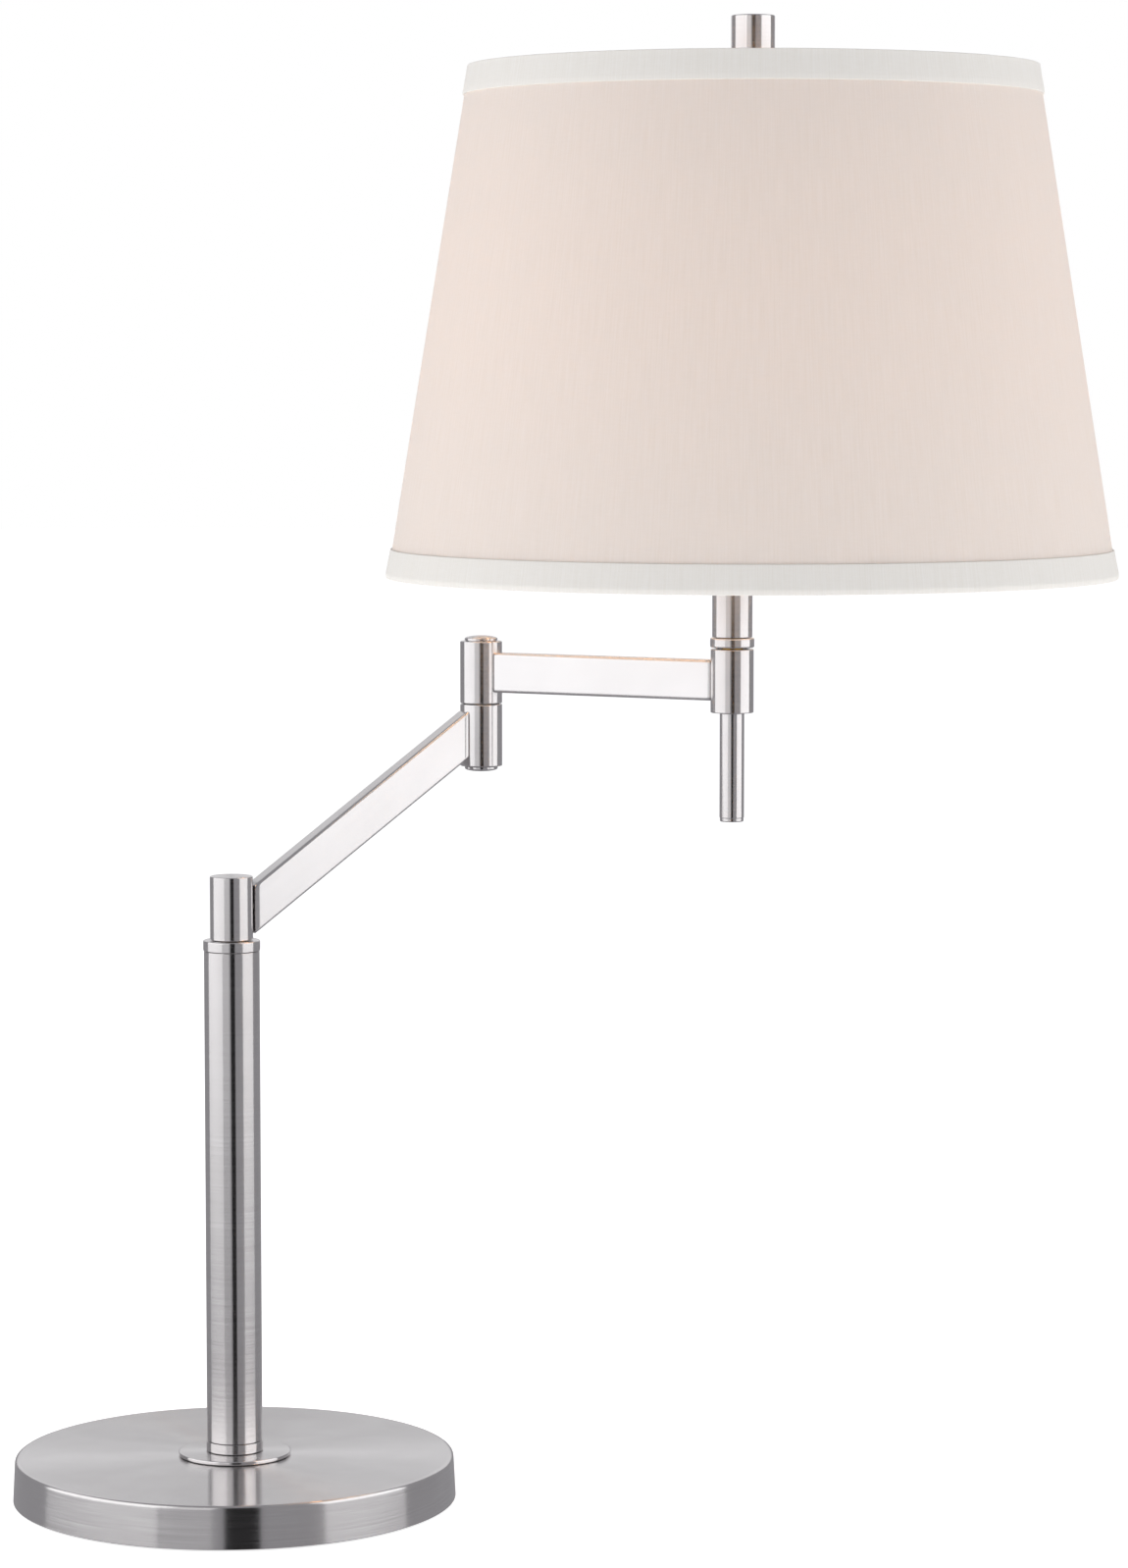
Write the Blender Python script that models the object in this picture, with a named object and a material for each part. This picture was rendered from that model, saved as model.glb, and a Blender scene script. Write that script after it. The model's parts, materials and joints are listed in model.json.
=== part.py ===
"""A swing-arm table lamp: weighted round base, pole, two hollow arms on three swivels, harp and drum shade.

Units are metres and +Z is up. The origin is the middle of the base's underside, where the lamp stands.
Each piece is one closed solid. Pieces that turn together hang from one empty, which stands on their joint's
axis at table height, so every height below is a height above the table.
"""

import math

import bmesh
import bpy
from mathutils import Vector

MM = 0.001

# ---------------------------------------------------------------- clearances and facets
GAP = 0.3 * MM  # between pieces that seat on or run in each other
SWIVEL_GAP = 0.4 * MM  # between two barrels that turn on each other
NECK_GAP = 0.7 * MM  # open groove between the head barrel and the neck ring
WIDE = 48  # facets round the base and the shade
ROUND = 24  # facets round the pole and the barrels
SMALL = 14  # facets round the inner pieces

# ---------------------------------------------------------------- base
BASE_RADIUS = 101.6 * MM
BASE_TAPER = 1.0 * MM  # how much smaller the top edge is than the foot
BASE_HEIGHT = 20.3 * MM
BASE_EDGE = 1.2 * MM  # rolled edge of the cover
COVER_WALL = 1.2 * MM
COVER_LIFT = 0.8 * MM  # the cover's rim above the table
PAD_THICKNESS = 2.5 * MM
NUT_FLATS = 16.0 * MM
NUT_HEIGHT = 3.8 * MM
WASHER_RADIUS = 9.0 * MM
WASHER_THICKNESS = 1.0 * MM
PIPE_TAIL = 0.7 * MM  # pipe left below its nut
WEIGHT_INSET = 2.0 * MM  # from the cover's wall in to the weight and the pad under it
RECESS_RADIUS = 13.0 * MM
LEAD_ROOM = 5.5 * MM  # free height over the pad for the lead, below the pipe
CHANNEL_WIDTH = 10.4 * MM
OUTLET_HEIGHT = 8.5 * MM
OUTLET_RADIUS = 4.2 * MM
OUTLET_BORE = 2.6 * MM
OUTLET_LIP = 1.4 * MM  # the outlet's flange stands this much wider than its body
OUTLET_FLANGE = 1.5 * MM
OUTLET_LENGTH = 7.0 * MM
OUTLET_EDGE = 0.5 * MM

# ---------------------------------------------------------------- pole
PIPE_RADIUS = 4.9 * MM
PIPE_BORE = 3.4 * MM
FLANGE_RADIUS = 25.7 * MM
FLANGE_THICKNESS = 1.8 * MM
RING_HEIGHT = 4.4 * MM
LOW_RING_RADIUS = 13.1 * MM
POLE_RADIUS = 12.7 * MM
POLE_WALL = 1.5 * MM
POLE_LENGTH = 226.2 * MM
COLLAR_RADIUS = 13.0 * MM
COLLAR_HEIGHT = 4.6 * MM
SPIGOT_LENGTH = 10.0 * MM

# ---------------------------------------------------------------- arms and their barrels
BARREL_RADIUS = 9.8 * MM
BARREL_BORE = 7.3 * MM
BARREL_LENGTH = 29.0 * MM
BARREL_WEB = 2.5 * MM  # closed end or inner wall of a barrel
BARREL_EDGE = 0.4 * MM
ARM_REACH = 130.0 * MM  # plan distance between the axes at an arm's two ends
ARM_RISE = 73.9 * MM  # from the pole barrel to the elbow's lower barrel
ARM_FOOT_DROP = 1.0 * MM  # the lower arm meets the pole barrel this much under its middle
ARM_HEIGHT = 18.5 * MM
ARM_WIDTH = 9.0 * MM
ARM_WALL = 1.2 * MM
ARM_CORNER = 1.4 * MM
LOWER_ARM_YAW = math.radians(29.8)
UPPER_ARM_YAW = math.radians(-27.7)
LEAD_HOLE = 2.8 * MM

# ---------------------------------------------------------------- swivel studs
POLE_STUD_RADIUS = 6.0 * MM
STUD_RADIUS = 5.0 * MM
STUD_BORE = 3.0 * MM
STUD_SHOULDER = 0.9 * MM  # how far a stud's shoulder stands proud of it
SHOULDER_HEIGHT = 1.5 * MM
BUSHING_LENGTH = 4.8 * MM
GROOVE_WIDTH = 3.0 * MM
GROOVE_DEPTH = 0.9 * MM
STUD_TIP = 1.4 * MM  # stud left beyond its groove
STUD_HEAD = 1.6 * MM  # how far the elbow stud's head stands out past it
GRUB_RADIUS = 1.2 * MM
GRUB_DEPTH = 0.6 * MM  # how far a grub screw's face lies below the barrel's
GRUB_SOCKET_DEPTH = 1.2 * MM
FRICTION_WASHER = 1.0 * MM
WASHER_SEAT_LIP = 1.4 * MM  # the rim that holds the friction washer
CAP_RADIUS = 7.7 * MM
CAP_RIM = 0.9 * MM
CAP_DOME = 1.4 * MM
CAP_SPIGOT = 5.0 * MM

# ---------------------------------------------------------------- head and handle
ROD_RADIUS = 5.6 * MM
ROD_LENGTH = 49.4 * MM
ROD_LINE_HEIGHT = 1.6 * MM  # a fine turned step this far above the rod's end
ROD_LINE_DEPTH = 0.15 * MM
ROD_LINE_SLOPE = 0.2 * MM  # height over which the step runs in to that depth
ROD_THREAD = 3.0 * MM
ROD_THREAD_TAIL = 0.6 * MM  # thread left above the nut
ROD_NUT_FLATS = 10.0 * MM
ROD_NUT_HEIGHT = 3.0 * MM
NECK_RING_RADIUS = 10.05 * MM
NECK_RING_EDGE = 0.8 * MM
NECK_RADIUS = 9.15 * MM
NECK_WALL = 1.2 * MM
NECK_LENGTH = 31.8 * MM

# ---------------------------------------------------------------- socket, switch and bulb
SOCKET_RADIUS = 16.5 * MM
SOCKET_WALL = 0.8 * MM
SOCKET_HUB_RADIUS = 7.5 * MM  # the cap's flat middle
SOCKET_CAP_HEIGHT = 16.0 * MM
SOCKET_SHELL_HEIGHT = 40.0 * MM
SOCKET_BODY_HEIGHT = 15.0 * MM
BODY_CLEARANCE = 0.9 * MM  # between the socket's body and its shell
SCREW_SHELL_RADIUS = 14.8 * MM
SCREW_SHELL_WALL = 0.6 * MM
SCREW_SHELL_DROP = 2.0 * MM  # from the socket's mouth down to the screw shell
SWITCH_HEIGHT = 4.5 * MM  # the switch's axis above the shell's bottom
SWITCH_SHAFT_RADIUS = 1.6 * MM
SWITCH_REACH = 17.0 * MM  # from the socket's shell to the knob's face
KNOB_RADIUS = 5.5 * MM
KNOB_LENGTH = 11.0 * MM
KNOB_FACE = 2.0 * MM  # the knob's face over the end of the shaft
KNOB_EDGE = 1.0 * MM
KNOB_TAPER = 0.5 * MM
BULB_RADIUS = 30.0 * MM
BULB_HEIGHT = 88.0 * MM
BULB_NECK_RADIUS = 12.6 * MM
BULB_CAP_HEIGHT = 25.0 * MM
BULB_TIP_HEIGHT = 4.0 * MM  # the tapered end of its cap
BULB_SEAT = 4.0 * MM  # room under the bulb for the socket's contact
BULB_GLASS = 0.8 * MM

# ---------------------------------------------------------------- harp, shade and finial
SADDLE_THICKNESS = 1.2 * MM
SADDLE_WIDTH = 16.0 * MM
TAB_WIDTH = 3.6 * MM
TAB_THICKNESS = 1.0 * MM
TAB_HEIGHT = 24.0 * MM
TAB_SETBACK = 0.3 * MM  # from the saddle's end in to a tab's outer face
SADDLE_INSET = 1.2 * MM  # from HARP_FOOT in to the saddle's end and the middle of a sleeve
SLEEVE_START = 0.5  # share of a tab's height where its sleeve starts
HARP_FOOT_START = 0.45  # share of a tab's height where the wire starts
HARP_KNEE = 1.1  # share of a tab's height where the wire starts to swell out
HARP_FOOT = 25.0 * MM  # from the socket's axis to a leg of the harp
HARP_HALF_WIDTH = 50.0 * MM
HARP_BELLY_SHARE = 0.42  # how far up the harp is widest
HARP_ARCH_POWER = 0.8  # 1 closes as an ellipse, less is squarer
HARP_HEIGHT = 206.0 * MM
HARP_WIRE = 1.4 * MM
HARP_SWAY = 8.5 * MM  # the harp's top, and the shade on it, stand this far off the head's axis
SLEEVE_RADIUS = 3.9 * MM
SLEEVE_WALL = 0.7 * MM
SLEEVE_LENGTH = 13.0 * MM
FITTER_STUD_RADIUS = 3.1 * MM
FITTER_SEAT_HEIGHT = 6.7 * MM
FITTER_PLATE = 2.0 * MM
FITTER_STUD_LENGTH = 15.0 * MM
HUB_MARGIN = 3.2 * MM  # how far the hub stands out past the finial, where the spokes are welded
HUB_THICKNESS = 1.6 * MM
HUB_DROP = 7.5 * MM  # the hub's seat below the shade's top edge
SPOKE_COUNT = 3
SHADE_WIRE = 1.6 * MM
SHADE_TOP_RADIUS = 127.7 * MM
SHADE_BOTTOM_RADIUS = 164.8 * MM
SHADE_HEIGHT = 228.6 * MM
SHADE_WALL = 1.2 * MM
TRIM_HEIGHT = 12.5 * MM
TRIM_THICKNESS = 0.8 * MM
FINIAL_RADIUS = 9.9 * MM
FINIAL_HEIGHT = 28.6 * MM
FINIAL_EDGE = 0.5 * MM
THREAD_ROOM = 2.0 * MM  # free depth beyond the stud in the finial's bore

LEAD_RADIUS = 1.5 * MM

# ---------------------------------------------------------------- finishes: colour, roughness, metallic
BRUSHED_NICKEL = ((0.62, 0.58, 0.56), 0.3, 1.0)
CAST_IRON = ((0.09, 0.09, 0.09), 0.8, 1.0)
ZINC_STEEL = ((0.55, 0.56, 0.57), 0.4, 1.0)
BRASS = ((0.75, 0.55, 0.25), 0.35, 1.0)
FELT = ((0.03, 0.03, 0.03), 1.0, 0.0)
BLACK_PLASTIC = ((0.02, 0.02, 0.02), 0.5, 0.0)
NYLON = ((0.85, 0.84, 0.80), 0.5, 0.0)
LEAD_SHEATH = ((0.80, 0.79, 0.75), 0.5, 0.0)
SHADE_FABRIC = ((0.86, 0.80, 0.74), 0.9, 0.0)
SHADE_TRIM = ((0.86, 0.85, 0.82), 0.9, 0.0)
OPAL_GLASS = ((0.95, 0.93, 0.88), 0.3, 0.0)

# ---------------------------------------------------------------- heights above the table, bottom to top
pad_top = PAD_THICKNESS
cover_inner_top = BASE_HEIGHT - COVER_WALL
pipe_bottom = pad_top + LEAD_ROOM
nut_bottom = pipe_bottom + PIPE_TAIL
washer_bottom = nut_bottom + NUT_HEIGHT + GAP
recess_top = washer_bottom + WASHER_THICKNESS + GAP
flange_bottom = BASE_HEIGHT + GAP
low_ring_bottom = flange_bottom + FLANGE_THICKNESS + GAP
pole_bottom = low_ring_bottom + RING_HEIGHT + GAP
pole_top = pole_bottom + POLE_LENGTH
collar_bottom = pole_top + GAP
collar_top = collar_bottom + COLLAR_HEIGHT
pole_barrel_bottom = collar_top + GAP
elbow_bottom = pole_barrel_bottom + ARM_RISE
elbow_seam = elbow_bottom + BARREL_LENGTH
upper_barrel_bottom = elbow_seam + SWIVEL_GAP
upper_barrel_top = upper_barrel_bottom + BARREL_LENGTH
lower_arm_foot = pole_barrel_bottom + BARREL_LENGTH / 2 - ARM_FOOT_DROP
lower_arm_head = elbow_bottom + BARREL_LENGTH / 2
upper_arm_middle = upper_barrel_bottom + BARREL_LENGTH / 2
neck_ring_bottom = upper_barrel_top + NECK_GAP
neck_bottom = neck_ring_bottom + RING_HEIGHT + GAP
neck_top = neck_bottom + NECK_LENGTH
saddle_bottom = neck_top + GAP
socket_bottom = saddle_bottom + SADDLE_THICKNESS + GAP
socket_shell_bottom = socket_bottom + SOCKET_CAP_HEIGHT + GAP
socket_body_bottom = socket_bottom + 0.6 * SOCKET_CAP_HEIGHT
socket_body_radius = SOCKET_RADIUS - SOCKET_WALL - BODY_CLEARANCE
screw_shell_bottom = socket_body_bottom + SOCKET_BODY_HEIGHT + GAP
bulb_bottom = screw_shell_bottom + BULB_SEAT
harp_top = saddle_bottom + HARP_HEIGHT
fitter_bottom = harp_top + HARP_WIRE + GAP
hub_bottom = fitter_bottom + FITTER_PLATE + FITTER_SEAT_HEIGHT + GAP
finial_bottom = hub_bottom + HUB_THICKNESS + GAP
shade_top = hub_bottom + HUB_DROP
shade_bottom = shade_top - SHADE_HEIGHT
hub_radius = FINIAL_RADIUS + HUB_MARGIN

arm_end = BARREL_RADIUS + GAP
arm_slope = (lower_arm_head - lower_arm_foot) / (ARM_REACH - BARREL_RADIUS - arm_end)
pole_inner = POLE_RADIUS - POLE_WALL


# ---------------------------------------------------------------- tools
def clear_scene():
    for thing in list(bpy.data.objects):
        bpy.data.objects.remove(thing, do_unlink=True)


def finish_of(name, finish):
    """A material of the piece's own, from a colour, a roughness and a metallic value."""
    colour, roughness, metallic = finish
    material = bpy.data.materials.new(name + "_finish")
    material.use_nodes = True
    shader = material.node_tree.nodes["Principled BSDF"]
    shader.inputs["Base Color"].default_value = (*colour, 1.0)
    shader.inputs["Roughness"].default_value = roughness
    shader.inputs["Metallic"].default_value = metallic
    return material


def axis_empty(name, location, yaw=0.0, parent=None):
    """An empty on a joint's axis. What it carries turns about it."""
    empty = bpy.data.objects.new(name, None)
    empty.location = location
    empty.rotation_euler = (0.0, 0.0, yaw)
    empty.parent = parent
    bpy.context.scene.collection.objects.link(empty)
    return empty


def piece_from(bm, name, finish, parent):
    """Turns a closed bmesh into a named object with smooth round faces and its own material."""
    bmesh.ops.remove_doubles(bm, verts=bm.verts, dist=0.001 * MM)
    bmesh.ops.recalc_face_normals(bm, faces=bm.faces)
    mesh = bpy.data.meshes.new(name)
    bm.to_mesh(mesh)
    bm.free()
    mesh.shade_smooth()
    mesh.set_sharp_from_angle(angle=math.radians(35))
    piece = bpy.data.objects.new(name, mesh)
    piece.parent = parent
    bpy.context.scene.collection.objects.link(piece)
    if finish is None:
        piece.hide_render = True
        piece.display_type = "WIRE"
    else:
        mesh.materials.append(finish_of(name, finish))
    return piece


def turned(name, profile, finish, parent=None, facets=ROUND, place=(0.0, 0.0, 0.0), tilt=(0.0, 0.0, 0.0)):
    """A lathe-turned piece: (radius, height) points spun about its own Z.

    A profile that starts on the axis ends on it, and any other is closed into a ring.
    """
    bm = bmesh.new()
    points = [bm.verts.new((radius, 0.0, height)) for radius, height in profile]
    lines = [bm.edges.new(pair) for pair in zip(points, points[1:])]
    if profile[0][0] > 0.0:
        lines.append(bm.edges.new((points[-1], points[0])))
    bmesh.ops.spin(
        bm, geom=points + lines, axis=(0, 0, 1), cent=(0, 0, 0), angle=math.tau, steps=facets, use_merge=True
    )
    piece = piece_from(bm, name, finish, parent)
    piece.location = place
    piece.rotation_euler = tilt
    return piece


def extruded(name, outline, start, end, finish, parent=None):
    """A bar: an outline in the YZ plane, carried in a straight line from one middle point to another."""
    bm = bmesh.new()
    first = Vector(start)
    face = bm.faces.new([bm.verts.new(first + Vector((0.0, y, z))) for y, z in outline])
    grown = bmesh.ops.extrude_face_region(bm, geom=[face])["geom"]
    moved = [item for item in grown if isinstance(item, bmesh.types.BMVert)]
    bmesh.ops.translate(bm, verts=moved, vec=Vector(end) - first)
    return piece_from(bm, name, finish, parent)


def cut(piece, tool):
    """Cuts a hidden tool out of a piece."""
    modifier = piece.modifiers.new("cut_" + tool.name, "BOOLEAN")
    modifier.operation = "DIFFERENCE"
    modifier.solver = "EXACT"
    modifier.object = tool


def join(piece, part):
    """Welds a hidden part to a piece."""
    modifier = piece.modifiers.new("join_" + part.name, "BOOLEAN")
    modifier.operation = "UNION"
    modifier.solver = "EXACT"
    modifier.object = part


def tube_profile(inner, outer, bottom, top, edge=0.0):
    """A plain tube, with its outer edges broken."""
    if not edge:
        return [(inner, top), (outer, top), (outer, bottom), (inner, bottom)]
    return [
        (inner, top),
        (outer - edge, top),
        (outer, top - edge),
        (outer, bottom + edge),
        (outer - edge, bottom),
        (inner, bottom),
    ]


def rounded_rectangle(width, height, corner, steps=3):
    """Points of a rectangle with round corners, about (0, 0)."""
    outline = []
    for quarter in range(4):
        middle_y = (width / 2 - corner) * (1 if quarter in (0, 3) else -1)
        middle_z = (height / 2 - corner) * (1 if quarter in (0, 1) else -1)
        for step in range(steps + 1):
            angle = math.pi / 2 * (quarter + step / steps)
            outline.append((middle_y + corner * math.cos(angle), middle_z + corner * math.sin(angle)))
    return outline


def drill(name, radius, start, end, parent=None):
    """A hidden round cutter from one point to another."""
    along = Vector(end) - Vector(start)
    profile = [(0.0, along.length), (radius, along.length), (radius, 0.0), (0.0, 0.0)]
    turn = along.to_track_quat("Z", "Y").to_euler()
    return turned(name, profile, None, parent, facets=SMALL, place=start, tilt=turn)


def smooth_route(points, spacing):
    """Points along a smooth curve (Catmull-Rom) through the route's own points, about a spacing apart."""
    ends = [2 * points[0] - points[1], *points, 2 * points[-1] - points[-2]]
    route = [points[0]]
    for before, first, second, after in zip(ends, ends[1:], ends[2:], ends[3:]):
        steps = max(1, round((second - first).length / spacing))
        for step in range(1, steps + 1):
            t = step / steps
            route.append(
                0.5
                * (
                    2 * first
                    + (second - before) * t
                    + (2 * before - 5 * first + 4 * second - after) * t**2
                    + (3 * first - before - 3 * second + after) * t**3
                )
            )
    return route


def wire(name, points, radius, finish, parent=None, spacing=None, closed=False):
    """A round wire along a smooth route, or straight through the given points when they already lie close."""
    points = [Vector(point) for point in points]
    route = smooth_route(points, spacing) if spacing else points
    curve = bpy.data.curves.new(name, "CURVE")
    curve.dimensions = "3D"
    curve.bevel_depth = radius
    curve.bevel_resolution = 2
    curve.use_fill_caps = not closed
    spline = curve.splines.new("POLY")
    spline.points.add(len(route) - 1)
    for point, place in zip(spline.points, route):
        point.co = (*place, 1.0)
    spline.use_cyclic_u = closed
    piece = bpy.data.objects.new(name, curve)
    piece.parent = parent
    bpy.context.scene.collection.objects.link(piece)
    curve.materials.append(finish_of(name, finish))
    return piece


def hex_nut(name, flats, height, bore, bottom, finish, parent=None):
    """A six-sided nut with a round bore."""
    corner = flats / 2 / math.cos(math.pi / 6)
    profile = [(0.0, bottom + height), (corner, bottom + height), (corner, bottom), (0.0, bottom)]
    nut = turned(name, profile, finish, parent, facets=6)
    cut(nut, drill(name + "_bore", bore, (0, 0, bottom - height), (0, 0, bottom + 2 * height), parent))
    return nut


# ---------------------------------------------------------------- base
def build_base():
    foot = BASE_RADIUS
    top = BASE_RADIUS - BASE_TAPER
    hole = PIPE_RADIUS + GAP
    middle = OUTLET_HEIGHT
    cover = turned(
        "base_cover",
        [
            (hole, BASE_HEIGHT),
            (top - BASE_EDGE, BASE_HEIGHT),
            (top - 0.3 * BASE_EDGE, BASE_HEIGHT - 0.3 * BASE_EDGE),
            (top, BASE_HEIGHT - BASE_EDGE),
            (foot, COVER_LIFT + BASE_EDGE / 2),
            (foot - COVER_WALL / 2, COVER_LIFT),
            (foot - COVER_WALL, COVER_LIFT + BASE_EDGE / 2),
            (top - COVER_WALL, cover_inner_top),
            (hole, cover_inner_top),
        ],
        BRUSHED_NICKEL,
        facets=WIDE,
    )
    hole_start = (0, BASE_RADIUS - OUTLET_LENGTH - 2 * MM, middle)
    hole_end = (0, BASE_RADIUS + OUTLET_LENGTH + 2 * MM, middle)
    cut(cover, drill("outlet_hole", OUTLET_RADIUS + GAP, hole_start, hole_end))

    rim = top - COVER_WALL - WEIGHT_INSET
    weight = turned(
        "base_weight",
        [
            (hole, cover_inner_top - GAP),
            (rim, cover_inner_top - GAP),
            (rim, pad_top + GAP),
            (RECESS_RADIUS, pad_top + GAP),
            (RECESS_RADIUS, recess_top),
            (hole, recess_top),
        ],
        CAST_IRON,
        facets=WIDE // 2,
    )
    channel_top = OUTLET_HEIGHT + CHANNEL_WIDTH / 2
    half = CHANNEL_WIDTH / 2
    channel = extruded(
        "lead_channel",
        [(0.0, 0.0), (1.2 * BASE_RADIUS, 0.0), (1.2 * BASE_RADIUS, channel_top), (0.0, channel_top)],
        (-half, 0.5 * RECESS_RADIUS, 0.0),
        (half, 0.5 * RECESS_RADIUS, 0.0),
        None,
    )
    cut(weight, channel)

    turned(
        "base_pad",
        [(0.0, pad_top), (rim, pad_top), (rim, 0.0), (0.0, 0.0)],
        FELT,
        facets=WIDE // 2,
    )
    lip = OUTLET_RADIUS + OUTLET_LIP
    turned(
        "cord_outlet",
        [
            (OUTLET_BORE, 0.0),
            (lip - OUTLET_EDGE, 0.0),
            (lip, OUTLET_EDGE),
            (lip, OUTLET_FLANGE),
            (OUTLET_RADIUS, OUTLET_FLANGE),
            (OUTLET_RADIUS, OUTLET_LENGTH),
            (OUTLET_BORE, OUTLET_LENGTH),
        ],
        BLACK_PLASTIC,
        facets=SMALL,
        place=(0.0, BASE_RADIUS + GAP + OUTLET_FLANGE, middle),
        tilt=(math.pi / 2, 0.0, 0.0),
    )
    hex_nut("pipe_nut", NUT_FLATS, NUT_HEIGHT, PIPE_RADIUS + GAP, nut_bottom, ZINC_STEEL)
    turned(
        "pipe_washer",
        tube_profile(hole, WASHER_RADIUS, washer_bottom, washer_bottom + WASHER_THICKNESS),
        ZINC_STEEL,
        facets=SMALL,
    )


# ---------------------------------------------------------------- pole
def build_pole():
    hole = PIPE_RADIUS + GAP
    spigot = pole_inner - GAP
    pipe_top = collar_bottom + COLLAR_HEIGHT / 3
    turned("pole_pipe", tube_profile(PIPE_BORE, PIPE_RADIUS, pipe_bottom, pipe_top), ZINC_STEEL, facets=SMALL)
    turned(
        "pole_flange",
        tube_profile(hole, FLANGE_RADIUS, flange_bottom, flange_bottom + FLANGE_THICKNESS, BARREL_EDGE),
        BRUSHED_NICKEL,
        facets=WIDE,
    )
    turned(
        "pole_low_ring",
        [
            (hole, pole_bottom + SPIGOT_LENGTH),
            (spigot, pole_bottom + SPIGOT_LENGTH),
            (spigot, low_ring_bottom + RING_HEIGHT),
            (LOW_RING_RADIUS, low_ring_bottom + RING_HEIGHT),
            (LOW_RING_RADIUS, low_ring_bottom),
            (hole, low_ring_bottom),
        ],
        BRUSHED_NICKEL,
    )
    turned("pole_tube", tube_profile(pole_inner, POLE_RADIUS, pole_bottom, pole_top), BRUSHED_NICKEL)
    turned(
        "pole_top_collar",
        [
            (POLE_STUD_RADIUS + GAP, collar_top),
            (COLLAR_RADIUS - BARREL_EDGE, collar_top),
            (COLLAR_RADIUS, collar_top - BARREL_EDGE),
            (COLLAR_RADIUS, collar_bottom),
            (spigot, collar_bottom),
            (spigot, pole_top - SPIGOT_LENGTH),
            (POLE_STUD_RADIUS + GAP, pole_top - SPIGOT_LENGTH),
        ],
        BRUSHED_NICKEL,
    )
    shoulder_top = pole_barrel_bottom + SHOULDER_HEIGHT
    bushing_top = shoulder_top + GAP + BUSHING_LENGTH
    turned(
        "pole_stud",
        stud_profile(POLE_STUD_RADIUS, bushing_top + GAP)
        + [
            (POLE_STUD_RADIUS + STUD_SHOULDER, shoulder_top),
            (POLE_STUD_RADIUS + STUD_SHOULDER, collar_top + GAP),
            (POLE_STUD_RADIUS, collar_top + GAP),
            (POLE_STUD_RADIUS, pole_top - SPIGOT_LENGTH),
            (PIPE_RADIUS + GAP, pole_top - SPIGOT_LENGTH),
            (PIPE_RADIUS + GAP, pipe_top + GAP),
            (STUD_BORE, pipe_top + GAP),
        ],
        BRASS,
        facets=SMALL,
    )
    return bushing_top


def stud_profile(radius, groove_bottom):
    """The free end of a swivel stud, with the groove that its grub screw runs in, down to its bearing."""
    groove = radius - GROOVE_DEPTH
    groove_top = groove_bottom + GROOVE_WIDTH
    return [
        (STUD_BORE, groove_top + STUD_TIP),
        (radius, groove_top + STUD_TIP),
        (radius, groove_top),
        (groove, groove_top),
        (groove, groove_bottom),
        (radius, groove_bottom),
        (radius, groove_bottom - BUSHING_LENGTH - 2 * GAP),
    ]


def bushing_profile(stud_radius, top):
    """A nylon bearing between a stud and its barrel."""
    return tube_profile(stud_radius + GAP, BARREL_BORE - GAP, top - BUSHING_LENGTH, top)


def lead_hole(name, side, height, parent, reach=2 * BARREL_RADIUS):
    """The cutter of a lead's way through a barrel's wall, to the side (1 or -1) that its arm is on."""
    return drill(name, LEAD_HOLE, (0, 0, height), (side * reach, 0, height), parent)


def add_grub_screw(name, barrel, height, groove_radius, parent):
    """A headless screw through a barrel's back wall, with its tip in the stud's groove."""
    inside, outside = (0, BARREL_BORE / 2, height), (0, 2 * BARREL_RADIUS, height)
    cut(barrel, drill(name + "_hole", GRUB_RADIUS + GAP, inside, outside, parent))
    tip = groove_radius + GAP
    length = BARREL_RADIUS - GRUB_DEPTH - tip
    socket = 0.55 * GRUB_RADIUS
    turned(
        name,
        [
            (0.0, length),
            (GRUB_RADIUS, length),
            (GRUB_RADIUS, 0.0),
            (socket, 0.0),
            (socket, GRUB_SOCKET_DEPTH),
            (0.0, GRUB_SOCKET_DEPTH),
        ],
        ZINC_STEEL,
        parent,
        facets=12,
        place=(0.0, tip + length, height),
        tilt=(math.pi / 2, 0.0, 0.0),
    )


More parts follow.
